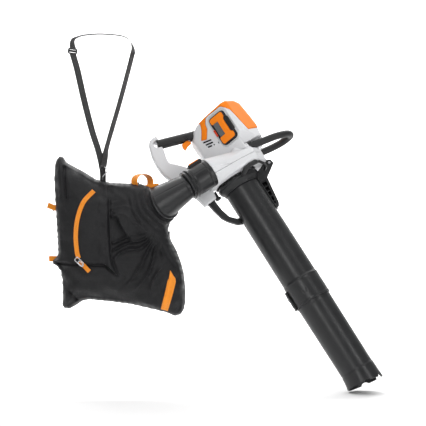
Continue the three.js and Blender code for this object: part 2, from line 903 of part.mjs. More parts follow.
const STRAP_Y = -176;
const STRAP_WIDTH = 30;
const LEFT = [
  [-314, 258],
  [-300, 209],
  [-279, 116],
  [-255, 23],
  [-238, -30],
  [-231, -60],
  [-230, -84],
];
const TOP = [
  [-314, 279],
  [-316, 296],
  [-311, 308],
  [-290, 315],
  [-244, 322],
  [-198, 320],
  [-155, 314],
  [-137, 300],
  [-128, 283],
  [-127, 271],
];
const RIGHT = [
  [-129, 264],
  [-143, 209],
  [-168, 116],
  [-195, 23],
  [-211, -30],
  [-216, -60],
  [-217, -84],
];
const LEFT_FACE = [0.62, 0.78, 0];
const RIGHT_FACE = [0.42, 0.91, 0];

// The strap's width direction over the top: it turns square to the view and back.
function topFaces(count) {
  return Array.from({ length: count }, (_, i) => {
    const share = i / (count - 1);
    const [x] = share < 0.5 ? LEFT_FACE : RIGHT_FACE;
    const turn = Math.asin(x) * Math.max(0, 1 - 4.5 * Math.min(share, 1 - share));
    return [Math.sin(turn), Math.cos(turn), 0];
  });
}

function finer(points) {
  const middle = (a, b) => a.map((value, i) => (value + b[i]) / 2);
  return points.flatMap((point, i) => (i ? [middle(points[i - 1], point), point] : [point]));
}
const hung = (points) => points.map(([x, z]) => [x, STRAP_Y, z]);
const top = finer(TOP);
cloth("strap_left", band(hung(LEFT), [LEFT_FACE], STRAP_WIDTH, WEB), CLOTH);
cloth("strap_top", band(hung(top), topFaces(top.length), STRAP_WIDTH, WEB), CLOTH);
cloth("strap_right", band(hung(RIGHT), [RIGHT_FACE], STRAP_WIDTH, WEB), CLOTH);
cloth("strap_slider", around([-315, STRAP_Y, 268.5], 20, 36, 9), BLACK);
const hookX = -223;
fitting(
  "strap_ring",
  cut(around([hookX, STRAP_Y, -92], 18, 40, 15), around([hookX, STRAP_Y, -91.4], 30, 33, 8)),
);
fitting("snap_hook", around([hookX, STRAP_Y, -111], 7, 12, 22));
fitting("bag_ring", around([hookX, STRAP_Y, -126.6], 5, 26, 8));

export default root;
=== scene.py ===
"""Looks for the leaf vacuum mulcher: moulded shells, tubes, bag and strap built round the CAD frame.

Moulded pieces are drawn as distance fields in the machine's own frame, in millimetres:
x toward the front loop, y away from the battery side, z up the motor and tube axis.
Soft pieces are drawn in the frame of the whole object, in millimetres as well.
"""
import functools
import json
import math

import bpy
import numpy as np
import openvdb
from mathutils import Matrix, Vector


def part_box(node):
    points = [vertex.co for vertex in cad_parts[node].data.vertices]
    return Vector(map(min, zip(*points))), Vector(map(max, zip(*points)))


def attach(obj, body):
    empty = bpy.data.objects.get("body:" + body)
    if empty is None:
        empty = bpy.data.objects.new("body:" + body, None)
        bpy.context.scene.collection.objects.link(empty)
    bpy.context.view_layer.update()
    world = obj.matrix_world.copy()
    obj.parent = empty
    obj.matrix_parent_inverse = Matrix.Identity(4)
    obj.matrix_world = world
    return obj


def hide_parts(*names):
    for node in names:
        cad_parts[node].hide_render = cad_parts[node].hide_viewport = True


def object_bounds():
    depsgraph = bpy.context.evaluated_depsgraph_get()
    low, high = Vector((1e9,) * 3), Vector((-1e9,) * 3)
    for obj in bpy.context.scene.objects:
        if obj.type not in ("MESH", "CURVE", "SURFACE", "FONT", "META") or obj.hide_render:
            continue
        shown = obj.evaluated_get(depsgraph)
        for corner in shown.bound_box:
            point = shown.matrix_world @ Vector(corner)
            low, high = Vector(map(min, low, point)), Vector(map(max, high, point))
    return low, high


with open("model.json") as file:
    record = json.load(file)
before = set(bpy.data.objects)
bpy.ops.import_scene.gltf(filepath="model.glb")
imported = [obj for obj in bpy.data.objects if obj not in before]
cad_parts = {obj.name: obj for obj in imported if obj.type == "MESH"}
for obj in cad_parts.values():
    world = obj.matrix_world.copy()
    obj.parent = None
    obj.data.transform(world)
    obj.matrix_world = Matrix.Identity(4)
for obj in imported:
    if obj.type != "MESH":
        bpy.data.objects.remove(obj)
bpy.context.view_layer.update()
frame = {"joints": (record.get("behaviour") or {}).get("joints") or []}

MM = 0.001
FINE = 1.5  # grid step of the moulded pieces, mm
TURN = 2 * math.pi


def joint(name):
    return next(j for j in frame["joints"] if j["name"] == name)


# The machine frame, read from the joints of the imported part.
UP = Vector(joint("fan_spin")["axis"])
SIDE = -Vector(joint("tube_swing")["axis"])
FRONT = SIDE.cross(UP)
FAN_Z = 40  # mm, where the fan joint sits on the axis
ORIGIN = Vector(joint("fan_spin")["pos_m"]) - UP * FAN_Z * MM
HINGE = (119, 9)  # x, z of the tube's hinge pin
DUCT_AT = (-78, -60, 62)  # middle of the outlet duct's end
DUCT_TILT = math.radians(4)
TUBE_R = 58.5
BATTERY_YAW = math.radians(-42)
BATTERY_AT = (31, -80, 167)
BATTERY_HALF = (30, 50)  # half width and half height of its face
BATTERY_MID = -3


def object_points(points):
    """Object-frame millimetres to metres."""
    return np.asarray(points, float) * MM


def machine_points(points):
    """Machine-frame millimetres to metres in the object's frame."""
    turn = np.array([FRONT, SIDE, UP])
    return points @ turn * MM + np.array(ORIGIN)


# ---- meshes and fields ----


def linked(name, data):
    obj = bpy.data.objects.new(name, data)
    bpy.context.collection.objects.link(obj)
    return obj


def mesh_object(name, nodes, look, points, faces, body="frame"):
    """A new piece that rides on a body and stands for CAD nodes."""
    slot, material = look
    mesh = bpy.data.meshes.new(name)
    mesh.from_pydata([tuple(p) for p in points], [], [tuple(f) for f in faces])
    mesh.validate()
    mesh.update()
    mesh.materials.append(material)
    mesh.shade_smooth()
    obj = linked(name, mesh)
    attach(obj, body)
    if nodes:
        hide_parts(*nodes)
    return obj


def field_mesh(low, high, step, field):
    """Points and faces of the zero surface of field(x, y, z)."""
    axes = [np.arange(a - 2 * step, b + 3 * step, step, dtype=np.float32) for a, b in zip(low, high)]
    x, y, z = np.ix_(*axes)
    values = np.broadcast_to(field(x, y, z), [len(a) for a in axes])
    grid = openvdb.FloatGrid(3 * step)
    grid.copyFromArray(np.ascontiguousarray(np.clip(values, -3 * step, 3 * step), dtype=np.float32))
    points, _, quads = grid.convertToPolygons(0.0, 0.0)
    start = np.array([a[0] for a in axes])
    return start + points.astype(float) * step, quads[:, ::-1]


def moulded(name, nodes, look, low, high, field, body="frame", grain=1.0, place=machine_points):
    """A piece from a distance field inside a box; grain scales its grid step."""
    points, faces = field_mesh(low, high, FINE * grain, field)
    return mesh_object(name, nodes, look, place(points), faces, body)


def union(*fields):
    return functools.reduce(np.minimum, fields)


def both(*fields):
    return functools.reduce(np.maximum, fields)


def soft_union(a, b, blend):
    mix = np.clip(0.5 + 0.5 * (b - a) / blend, 0, 1)
    return b + (a - b) * mix - blend * mix * (1 - mix)


def soft_both(a, b, blend):
    return -soft_union(-a, -b, blend)


def soft_cut(a, b, blend):
    return soft_both(a, -b, blend)


def polygon(u, v, points, round_by=0):
    """Signed distance to a closed outline, its corners rounded outward by round_by."""
    points = [np.array(p, float) for p in points]
    nearest = np.inf
    inside = np.zeros(np.broadcast(u, v).shape, bool)
    for a, b in zip(points, points[1:] + points[:1]):
        du, dv = b - a
        along = np.clip(((u - a[0]) * du + (v - a[1]) * dv) / (du * du + dv * dv), 0, 1)
        nearest = np.minimum(nearest, (u - a[0] - along * du) ** 2 + (v - a[1] - along * dv) ** 2)
        crosses = (a[1] > v) != (b[1] > v)
        inside ^= crosses & (u < (b[0] - a[0]) * (v - a[1]) / ((b[1] - a[1]) or 1e-9) + a[0])
    return np.where(inside, -np.sqrt(nearest), np.sqrt(nearest)) - round_by


def inset(points, distance):
    """A convex or gently hollow outline, anticlockwise, moved inward."""
    moved = []
    for before, corner, after in zip(points[-1:] + points[:-1], points, points[1:] + points[:1]):
        come, go = np.subtract(corner, before), np.subtract(after, corner)
        n1 = np.array([-come[1], come[0]]) / np.hypot(*come)
        n2 = np.array([-go[1], go[0]]) / np.hypot(*go)
        moved.append(tuple(np.array(corner) + (n1 + n2) * distance / (1 + n1 @ n2)))
    return moved


def rounded(points, radius, u, v):
    return polygon(u, v, inset(points, radius), radius)


def slab(w, low, high):
    return np.abs(w - (low + high) / 2) - (high - low) / 2


def disc(u, v, centre, radius):
    return np.hypot(u - centre[0], v - centre[1]) - radius


def block(x, y, z, x0, x1, y0, y1, z0, z1, radius=0):
    """A box, its edges rounded."""
    qx = slab(x, x0, x1) + radius
    qy = slab(y, y0, y1) + radius
    qz = slab(z, z0, z1) + radius
    outside = np.sqrt(np.maximum(qx, 0) ** 2 + np.maximum(qy, 0) ** 2 + np.maximum(qz, 0) ** 2)
    return outside + np.minimum(both(qx, qy, qz), 0) - radius


def thick(outline, across, radius):
    """An outline's distance given a thickness, its edges rounded."""
    a = outline + radius
    b = across + radius
    return np.sqrt(np.maximum(a, 0) ** 2 + np.maximum(b, 0) ** 2) + np.minimum(np.maximum(a, b), 0) - radius


def rod_field(x, y, z, start, end, radius):
    """A round bar between two points."""
    start = np.array(start, float)
    span = np.array(end, float) - start
    along = ((x - start[0]) * span[0] + (y - start[1]) * span[1] + (z - start[2]) * span[2]) / (span @ span)
    along = np.clip(along, 0, 1)
    off = [place - start[i] - along * span[i] for i, place in enumerate((x, y, z))]
    return np.sqrt(off[0] ** 2 + off[1] ** 2 + off[2] ** 2) - radius


def path_field(x, y, z, points, radius):
    """A round bar along several points."""
    return union(*[rod_field(x, y, z, a, b, radius) for a, b in zip(points, points[1:])])


def grid_faces(rows, columns, closed=True):
    """Quads over a grid whose columns join round, and whose last row joins the first when closed."""
    faces = []
    for i in range(rows if closed else rows - 1):
        j = (i + 1) % rows
        for k in range(columns):
            m = (k + 1) % columns
            faces.append((i * columns + k, i * columns + m, j * columns + m, j * columns + k))
    return faces


def dense(profile, step):
    """A closed profile with extra points no further apart than step."""
    rows = []
    for a, b in zip(profile, profile[1:] + profile[:1]):
        parts = max(1, math.ceil(math.dist(a, b) / step))
        rows += [(a[0] + (b[0] - a[0]) * i / parts, a[1] + (b[1] - a[1]) * i / parts) for i in range(parts)]
    return rows


def turned(name, nodes, profile, step, segments, place, shape=None, body="frame"):
    """A closed [radius, height] profile turned about z; shape may move its places by angle."""
    rows = np.array(dense(profile, step))
    angle = np.repeat(np.linspace(0, TURN, segments, endpoint=False)[:, None], len(rows), 1)
    radius, height = (np.repeat(column[None, :], segments, 0) for column in rows.T)
    if shape:
        radius, height = shape(angle, radius, height)
    points = np.stack([radius * np.cos(angle), radius * np.sin(angle), height], -1).reshape(-1, 3)
    faces = [(a, d, c, b) for a, b, c, d in grid_faces(segments, len(rows))]
    return mesh_object(name, nodes, TUBE, place(points), faces, body)


def swept_mesh(path, radius, sides, closed=False):
    """A round tube along a path, its ends closed or joined to each other."""
    path = np.array(path, float)
    if closed:
        ahead, behind = np.roll(path, -1, 0), np.roll(path, 1, 0)
    else:
        ahead, behind = np.vstack([path[1:], path[-1:]]), np.vstack([path[:1], path[:-1]])
    along = unit(ahead - behind)
    side = np.cross(along[0], (0.31, 0.53, 0.79))
    points = []
    for spot, forward in zip(path, along):
        side = unit(side - forward * (side @ forward))
        other = np.cross(forward, side)
        for turn in np.linspace(0, TURN, sides, endpoint=False):
            points.append(spot + radius * (math.cos(turn) * side + math.sin(turn) * other))
    faces = grid_faces(len(path), sides, closed)
    if not closed:
        faces.append(tuple(range(sides - 1, -1, -1)))
        faces.append(tuple(range((len(path) - 1) * sides, len(path) * sides)))
    return np.array(points), faces


def wire(name, nodes, look, path, radius, sides=14, closed=True, place=object_points):
    points, faces = swept_mesh(path, radius, sides, closed)
    return mesh_object(name, nodes, look, place(points), faces)


def unit(vectors):
    return vectors / np.linalg.norm(vectors, axis=-1, keepdims=True)


def smooth_path(points, per_span):
    """Catmull-Rom through points, as an array."""
    p = [np.array(q, float) for q in points]
    p = [2 * p[0] - p[1]] + p + [2 * p[-1] - p[-2]]
    out = []
    for i in range(1, len(p) - 2):
        for t in np.linspace(0, 1, per_span, endpoint=False):
            a = 2 * p[i]
            b = p[i + 1] - p[i - 1]
            c = 2 * p[i - 1] - 5 * p[i] + 4 * p[i + 1] - p[i + 2]
            d = -p[i - 1] + 3 * p[i] - 3 * p[i + 1] + p[i + 2]
            out.append(0.5 * (a + b * t + c * t * t + d * t**3))
    out.append(p[-2])
    return np.array(out)


# ---- materials ----


class Look:
    """A principled material and short ways to wire its nodes."""

    def __init__(self, name, color, roughness, metallic=0.0, reflection=0.5):
        self.material = bpy.data.materials.new(name)
        self.material.use_nodes = True
        self.tree = self.material.node_tree
        self.shader = self.tree.nodes["Principled BSDF"]
        self.color = color
        self.set(self.shader, "Base Color", (*color, 1))
        self.set(self.shader, "Roughness", roughness)
        self.set(self.shader, "Metallic", metallic)
        self.set(self.shader, "Specular IOR Level", reflection)

    def set(self, node, key, value):
        if isinstance(value, bpy.types.NodeSocket):
            self.tree.links.new(value, node.inputs[key])
        else:
            node.inputs[key].default_value = value

    def node(self, kind, settings, out):
        """A new node with its inputs set; gives back the named output."""
        made = self.tree.nodes.new(kind)
        for key, value in settings.items():
            self.set(made, key, value)
        return made.outputs[out]

    def place(self, stretch=(1, 1, 1), source="Object", turn=(0, 0, 0)):
        coords = self.node("ShaderNodeTexCoord", {}, source)
        return self.node("ShaderNodeMapping", {"Vector": coords, "Scale": stretch, "Rotation": turn}, "Vector")

    def noise(self, vector, scale, detail=3.0, roughness=0.5):
        settings = {"Vector": vector, "Scale": scale, "Detail": detail, "Roughness": roughness}
        return self.node("ShaderNodeTexNoise", settings, "Fac")

    def span(self, value, low, high, out_low, out_high):
        settings = {"Value": value, "From Min": low, "From Max": high, "To Min": out_low, "To Max": out_high}
        return self.node("ShaderNodeMapRange", settings, "Result")

    def maths(self, operation, a, b):
        result = self.node("ShaderNodeMath", {0: a, 1: b}, 0)
        result.node.operation = operation
        return result

    def rough(self, value, low, high):
        """Roughness that follows a noise value."""
        self.set(self.shader, "Roughness", self.span(value, 0.3, 0.7, low, high))

    def shade(self, amount, low, high):
        """Base colour varied between two brightnesses."""
        made = self.tree.nodes.new("ShaderNodeMix")
        made.data_type = "RGBA"
        self.set(made, "Factor", amount)
        made.inputs["A"].default_value = (*[c * low for c in self.color], 1)
        made.inputs["B"].default_value = (*[c * high for c in self.color], 1)
        self.set(self.shader, "Base Color", made.outputs["Result"])

    def bump(self, height, distance, strength=1.0):
        """Relief added on top of any bump wired before."""
        settings = {"Strength": strength, "Distance": distance, "Height": height}
        before = self.shader.inputs["Normal"].links
        if before:
            settings["Normal"] = before[0].from_socket
        self.set(self.shader, "Normal", self.node("ShaderNodeBump", settings, "Normal"))


def moulded_plastic(name, color, roughness, reflection=0.5):
    look = Look(name, color, roughness, reflection=reflection)
    where = look.place()
    look.bump(look.noise(where, 1400, 2), 0.00006, 0.5)
    look.rough(look.noise(where, 14, 5, 0.6), roughness - 0.06, roughness + 0.06)
    look.shade(look.noise(where, 9, 4), 0.94, 1.05)
    return look.material


def blown_tube(name, color, roughness):
    """Satin black pipe: a slow ripple, fine grain and smudges."""
    look = Look(name, color, roughness, reflection=0.4)
    where = look.place()
    look.bump(look.noise(where, 12, 2), 0.0009, 0.25)
    look.bump(look.noise(where, 900, 2), 0.00004, 0.5)
    smudge = look.noise(where, 30, 6, 0.65)
    look.rough(smudge, roughness - 0.05, roughness + 0.08)
    look.shade(smudge, 0.85, 1.15)
    return look.material


def soft_grip(name, color):
    look = Look(name, color, 0.55)
    where = look.place()
    look.bump(look.noise(where, 520, 3, 0.7), 0.0002, 0.6)
    look.shade(look.noise(where, 40, 4), 0.8, 1.25)
    return look.material


def brushed_metal(name, color, roughness):
    look = Look(name, color, roughness, metallic=1.0)
    lines = look.noise(look.place((1, 1, 30)), 260, 3)
    look.bump(lines, 0.00005, 0.4)
    look.rough(lines, roughness - 0.08, roughness + 0.1)
    return look.material


def weave(look, where, keys, turns):
    """Two crossed sets of threads along two of a place's directions."""
    separate = look.node("ShaderNodeSeparateXYZ", {"Vector": where}, keys[0]).node
    waves = [look.maths("MULTIPLY", separate.outputs[key], turns) for key in keys]
    return look.maths("MULTIPLY", *[look.maths("SINE", wave, 0) for wave in waves])


def woven(name, color, pitch, roughness, sheen):
    """Plain-weave tape: warp and weft threads from the piece's own length and width, with painted shade in the
    weave's hollows and a painted highlight on the thread crowns.
    """
    look = Look(name, color, roughness)
    threads = weave(look, look.place(source="UV"), "XY", TURN / pitch)
    look.bump(threads, 0.0005, 0.7)
    # painted shade and highlight: the colour follows the thread height, darker in the hollows and lighter on
    # the crowns
    look.shade(look.span(threads, -1, 1, 0, 1), 0.72, 1.2)
    look.set(look.shader, "Sheen Weight", sheen)
    look.set(look.shader, "Sheen Roughness", 0.4)
    return look.material


def bag_fabric(name, color):
    """Coated nylon: fine weave and two sizes of soft creases."""
    look = Look(name, color, 0.5, reflection=0.22)
    where = look.place()
    look.bump(weave(look, where, "XZ", 5200), 0.00012, 0.5)
    creases = look.noise(look.place((1, 0.4, 0.6), turn=(0, math.radians(35), 0)), 34, 5, 0.62)
    look.bump(creases, 0.006, 0.6)
    fine = look.noise(look.place((0.5, 0.5, 1), turn=(0, math.radians(-40), 0)), 120, 4, 0.6)
    look.bump(fine, 0.0016, 0.45)
    look.rough(creases, 0.42, 0.62)
    look.shade(look.noise(where, 20, 4), 0.85, 1.2)
    return look.material


# Each look is a slot of the record and its material.
WHITE = "white_plastic", moulded_plastic("white plastic", (0.68, 0.685, 0.7), 0.42)
ORANGE = "orange_plastic", moulded_plastic("orange plastic", (0.92, 0.225, 0.005), 0.42, 0.28)
BLACK = "black_plastic", moulded_plastic("black plastic", (0.011, 0.0115, 0.0125), 0.4, 0.4)
TUBE = "black_tube", blown_tube("black tube", (0.0125, 0.0128, 0.0138), 0.33)
GRIP = "grip_rubber", soft_grip("grip rubber", (0.0065, 0.0065, 0.007))
LABEL = "label_grey", moulded_plastic("label plate", (0.1, 0.108, 0.115), 0.45)
RED = "release_red", moulded_plastic("release strip", (0.62, 0.045, 0.01), 0.4)
STEEL = "steel", brushed_metal("steel", (0.52, 0.52, 0.54), 0.35)
ZINC = "zinc", brushed_metal("plated zinc", (0.66, 0.66, 0.68), 0.24)
CLOTH = "bag_cloth", bag_fabric("bag cloth", (0.0118, 0.0118, 0.0128))
ORANGE_WEB = "orange_web", woven("orange webbing", (0.98, 0.31, 0.012), 0.0016, 0.65, 0.1)
BLACK_WEB = "strap_web", woven("black webbing", (0.012, 0.012, 0.013), 0.0018, 0.62, 0.12)
BOARD = "board_green", moulded_plastic("circuit board", (0.02, 0.1, 0.04), 0.5)
ORANGE_THREAD = "orange_web", moulded_plastic("orange thread", (0.98, 0.36, 0.05), 0.6)
BLACK_THREAD = "strap_web", moulded_plastic("black thread", (0.035, 0.035, 0.037), 0.6)
GUNMETAL = "zinc", brushed_metal("blackened steel", (0.09, 0.09, 0.095), 0.35)
CAST = "steel", brushed_metal("cast alloy", (0.42, 0.42, 0.43), 0.5)
BLADE = "steel", brushed_metal("ground blade", (0.6, 0.6, 0.62), 0.25)
IRON = "steel", brushed_metal("lamination iron", (0.2, 0.19, 0.185), 0.45)


# ---- fan housing ----

FLOOR_Z = 16
DECK_Z = 64
SPLIT_Z = 42
LOOP_SIDES = (-62, 48)  # y of the front loop's near and far legs


def scroll_field(x, y, z):
    """The snail-shaped housing round the fan, its lower edge well rounded."""
    dx = x - 14
    angle = np.degrees(np.arctan2(y, dx))
    share = np.clip((180 - angle) / 270, 0, 1)
    outline = np.hypot(dx, y) - (90 + 18 * share)
    return thick(outline, slab(z, FLOOR_Z, DECK_Z), 9)


def along_duct(x, y, z):
    """Up, sideways and outward in the tilted frame of the duct's end, outward counted from the fan axis."""
    dx, dz = DUCT_AT[0] - x, z - DUCT_AT[2]
    c, s = math.cos(DUCT_TILT), math.sin(DUCT_TILT)
    return dx * s + dz * c, y - DUCT_AT[1], dx * c - dz * s - DUCT_AT[0]


def down_duct(x, values):
    """A measure of the duct at x, given at four stations from its round end to the scroll's front."""
    return np.interp(x, [-78, -40, 20, 68], values)


def duct_rise(x):
    return down_duct(x, [62, 57, 48, 40])


def duct_field(x, y, z, grow=0):
    """The outlet duct, swelling from the front of the scroll to the round end."""
    radius = down_duct(x, [46, 40.5, 33, 26]) + grow
    round_part = np.hypot(y - down_duct(x, [-60, -63, -70, -78]), z - duct_rise(x)) - radius
    out = along_duct(x, y, z)[2]
    return soft_both(round_part, np.maximum(x - 72, out - 78), 3)


def hinge_lug(x, y, z):
    arm = block(x, y, z, 98, 121, -9, 9, 10, 34, 3)
    return soft_union(both(disc(x, z, HINGE, 11), slab(y, -9, 9)), arm, 4)


def socket_field(x, y, z, side):
    """The barrel that takes a leg of the front loop, and its foot."""
    barrel = rod_field(x, y, z, (30, side, 79), (73, side, 75), 15.8)
    foot = block(x, y, z, 34, 72, side - 11, side + 11, 58, 75, 3)
    return soft_union(soft_both(barrel, x - 73, 2), foot, 6)


def fan_shell(x, y, z):
    """Both halves of the fan housing with its outlet, sockets and hinge lug, hollowed."""
    body = soft_union(scroll_field(x, y, z), duct_field(x, y, z), 10)
    for side in LOOP_SIDES:
        body = soft_union(body, socket_field(x, y, z, side), 8)
    body = union(body, hinge_lug(x, y, z))
    inlet = both(np.hypot(x, y) - 50, slab(z, 0, 30))
    fan_room = both(np.hypot(x, y) - 72, slab(z, 12, 54))
    ears = both(disc(x, z, HINGE, 12.6), np.abs(np.abs(y) - 12.75) - 4.2)
    legs = union(*[rod_field(x, y, z, (40, side, 78.5), (140, side, 67.5), 12.1) for side in LOOP_SIDES])
    up, side, out = along_duct(x, y, z)
    bore = both(np.hypot(up, side) - 38.5, slab(out, 58, 130))
    body = both(body, -inlet, -fan_room, -ears, -both(legs, 56 - x), -bore)
    spigot = both(np.abs(np.hypot(up, side) - 40.2) - 1.8, slab(out, 74, 112))
    return both(union(body, spigot), -band_lines(x, y, z))


def band_lines(x, y, z):
    """Two fine mould lines along the duct's near side."""
    rise = z - duct_rise(x) + 0.1 * (x + 78)
    lines = union(np.abs(rise + 4) - 0.9, np.abs(rise - 3) - 0.9)
    skin = np.abs(duct_field(x, y, z)) - 1.1
    return both(lines, skin, y + 50, slab(x, -79, 52))


def build_fan_housing():
    gap = 0.35
    low, high = (-114, -112, -6), (134, 104, 118)

    def upper(x, y, z):
        return both(fan_shell(x, y, z), SPLIT_Z + gap - z)

    def lower(x, y, z):
        return both(fan_shell(x, y, z), z - SPLIT_Z + gap)

    moulded("fan_shell_upper", ["fan_housing_upper"], WHITE, low, high, upper)
    moulded("fan_shell_lower", ["fan_housing_lower"], WHITE, low, high, lower)


# ---- motor housing and cover ----

SIDE_OUTLINE = [
    (-52, 64), (132, 64), (146, 136), (131, 221), (112, 236), (80, 238),
    (8, 236), (-22, 231), (-42, 218), (-57, 194), (-54, 150),
]
PLAN_OUTLINE = [(62, -100), (80, -100), (144, -48), (144, 48), (100, 80), (0, 80), (-57, 48), (-57, 7)]
COVER_NEAR = [
    (-33, 180), (-19, 172), (-3, 198), (-1, 214), (8, 229), (16, 231), (56, 229), (77, 203), (98, 121),
    (170, 121), (170, 290), (-40, 290), (-12, 226), (-18, 206),
]
COVER_FAR = [(-13, 228), (98, 121), (170, 121), (170, 290), (-40, 290)]


def housing_field(x, y, z):
    return soft_both(rounded(PLAN_OUTLINE, 12, x, y), rounded(SIDE_OUTLINE, 14, x, z), 12)


def to_battery(x, y, z):
    """Machine place to the battery's own: across its face, inward, and up."""
    c, s = math.cos(BATTERY_YAW), math.sin(BATTERY_YAW)
    dx, dy = x - BATTERY_AT[0], y - BATTERY_AT[1]
    return c * dx + s * dy, -s * dx + c * dy, z - BATTERY_AT[2]


def battery_outline(u, w, grow):
    """Distance to the battery's rounded face outline."""
    half_wide, half_high = BATTERY_HALF
    return thick(np.abs(u - BATTERY_MID) - half_wide - grow, np.abs(w) - half_high - grow, 11 + grow)


def motor_body(x, y, z):
    """The motor housing and cover as one block, cut for the battery, the front loop and the duct."""
    u, v, w = to_battery(x, y, z)
    recess = both(battery_outline(u - 2, w, 6), slab(v, -20, 9))
    body = soft_cut(housing_field(x, y, z), recess, 5)
    pocket = both(battery_outline(u, w, 1.2), slab(v, -40, 96))
    near, far = LOOP_SIDES
    bevel = (z - 90 + 1.3 * (y + 72)) / math.hypot(1, 1.3)
    near_step = both(np.minimum(bevel, z - 90), 58 - x, y - near - 16)
    far_step = rod_field(x, y, z, (48, far, 77.6), (300, far, 50), 13.4)
    body = soft_cut(both(body, -pocket), union(near_step, far_step), 3)
    return both(body, -duct_field(x, y, z, 0.8), DECK_Z + 0.6 - z)


def vent_field(x, y, z):
    """Three slots stepping down the battery facet, with a dot and a dash beside them."""
    u, v, w = to_battery(x, y, z)
    fall = w + 0.28 * (u + 92)
    cuts = [block(u, v, w, -46, -42.5, -8, 16, -32, -25, 1)]
    for start, end, level in ((-92, -60, 4), (-88.5, -60, -6), (-86, -69, -15.5), (-63.5, -59, -15.5)):
        cuts.append(block(u, v, fall, start, end, -8, 16, level - 2.7, level + 2.7, 1))
    return union(*cuts)


def build_motor_housing():
    low, high = (-64, -104, 62), (150, 84, 244)
    gap = 0.4

    def cover_region(x, y, z):
        return np.where(y > 0, polygon(x, z, COVER_FAR), polygon(x, z, COVER_NEAR))

    def shell(x, y, z):
        return both(motor_body(x, y, z), gap - cover_region(x, y, z))

    def near(x, y, z):
        return both(shell(x, y, z), y + gap / 2, -vent_field(x, y, z))

    def far(x, y, z):
        return both(shell(x, y, z), gap / 2 - y)

    def cover(x, y, z):
        return both(motor_body(x, y, z) - 0.9, cover_region(x, y, z) + gap)

    def painted_shade_plate(x, y, z):
        """A black plate just under the vent slots, standing in for the shade inside them: painted shade."""
        body = motor_body(x, y, z)
        return both(vent_field(x, y, z) + 0.1, body + 1.4, y + gap, -body - 5)

    moulded("motor_shell_near", ["motor_housing_near"], WHITE, low, high, near)
    moulded("motor_shell_far", ["motor_housing_far"], WHITE, low, high, far)
    moulded("arched_cover", ["top_cover"], ORANGE, low, high, cover)
    # painted shade: a black plate fills the vent slots so they read dark where shade falls
    moulded("vent_screen", [], BLACK, (-64, -60, 110), (20, 30, 180), painted_shade_plate)


# ---- battery ----

RAIL_BUMP = (26, 0, -20), (26, 0, 18)  # ends of the rail's bump beside the face


def from_battery(points):
    """Battery-frame millimetres to metres in the object's frame."""
    c, s = math.cos(BATTERY_YAW), math.sin(BATTERY_YAW)
    u, v, w = points.T
    x = BATTERY_AT[0] + c * u - s * v
    y = BATTERY_AT[1] + s * u + c * v
    return machine_points(np.stack([x, y, BATTERY_AT[2] + w], -1))


def battery_case(u, v, w):
    """Black case: the body, the raised frame of its face and the rail bump at the side."""
    body = thick(battery_outline(u, w, 0), slab(v, 6, 92), 3)
    plate = thick(battery_outline(u, w, -0.6), slab(v, 0.4, 12), 2)
    bump = thick(rod_field(u, 0, w, *RAIL_BUMP, 8), slab(v, -1.4, 7), 2)
    case = union(body, soft_union(plate, bump, 3))
    well = both(battery_outline(u, w, -3.2), slab(v, -5, 3.8))
    rails = both(np.abs(np.abs(w) - 30) - 2.2, 28 - np.abs(u - BATTERY_MID), slab(v, 20, 100))
    room = block(u, v, w, -40, -27.8, -3, 5.5, -15, 13)
    return both(union(both(case, -well), soft_both(bump, 16 - u, 1)), -rails, -room)


def battery_face(u, v, w):
    """The orange pad: broad at both ends, drawn in at the middle."""
    crown = 0.0012 * (u**2) + 0.0004 * w**2
    pad = thick(battery_outline(u, w, -3.6), slab(v + 1.6 - crown, 0, 5.4), 1.4)
    right_waist = rod_field(u, 0, w, *RAIL_BUMP, 9.4)
    left_waist = rod_field(u, 0, w, (-33, 0, -19), (-33, 0, 24), 7)
    room = block(u, v, w, -30, -4.4, -6, 8, -21.6, 26.6, 1)
    return both(soft_cut(pad, right_waist, 1.5), -left_waist, -room, v - 3.5)


def battery_label(u, v, w):
    """The plain grey plate with a sunk window and four lamps."""
    plate = block(u, v, w, -24.6, -4.8, -1.2, 3.4, -21.2, 26.2, 1)
    window = both(block(u, v, w, -22.4, -7, -3, -0.7, -19, 24, 1), slab(v, -3, -0.7))
    lamps = union(*[disc(u, w, (-19.5, 10 * i - 13), 1.6) for i in range(4)])
    return union(both(plate, -window), both(lamps, slab(v, -1.1, 1)))


def battery_release(u, v, w):
    pad = block(u, v, w, -35.5, -29.4, -0.6, 5, -13, 11, 1.4)
    ribs = union(*[np.abs(w + 9 - 3.2 * i) - 0.6 for i in range(6)])
    return both(pad, -both(ribs, v - 0.1))


def build_battery():
    for name, node, look, field, depth, body in (
        ("battery_block", "battery_case", BLACK, battery_case, 94, "battery"),
        ("battery_pad", "battery_face", ORANGE, battery_face, 12, "battery"),
        ("battery_plate", "battery_label", LABEL, battery_label, 12, "battery"),
        ("battery_catch", "battery_release", RED, battery_release, 12, "release"),
    ):
        moulded(name, [node], look, (-39, -4, -54), (36, depth, 54), field, body, 0.8, from_battery)


# ---- handles ----

GRIP_ENDS = (-158, 12, 244), (-30, 12, 212)
HOOP = [
    (-157, 261), (-169, 258), (-175, 250), (-185, 216), (-190, 178), (-185, 144), (-175, 121),
    (-134, 31), (-125, -3), (-96, 2), (-92, 28), (-78, 46), (-78, 84), (-122, 122), (-149, 150),
    (-162, 160), (-168, 171), (-167, 191), (-160, 219),
]
POCKET = [(-97, 190), (-58, 184), (-58, 212), (-69, 215), (-69, 228.5), (-89, 228.5), (-89, 218), (-97, 218)]
TRIGGER = [
    (-88, 207), (-92, 197), (-90.5, 186), (-85, 183.5), (-77, 190), (-68, 193), (-59.5, 195), (-59, 208),
    (-68, 210),
]
TRIGGER_PIN = (-63, 204)
BUTTON = (-66, 219)
SCREW = (-165, 246)


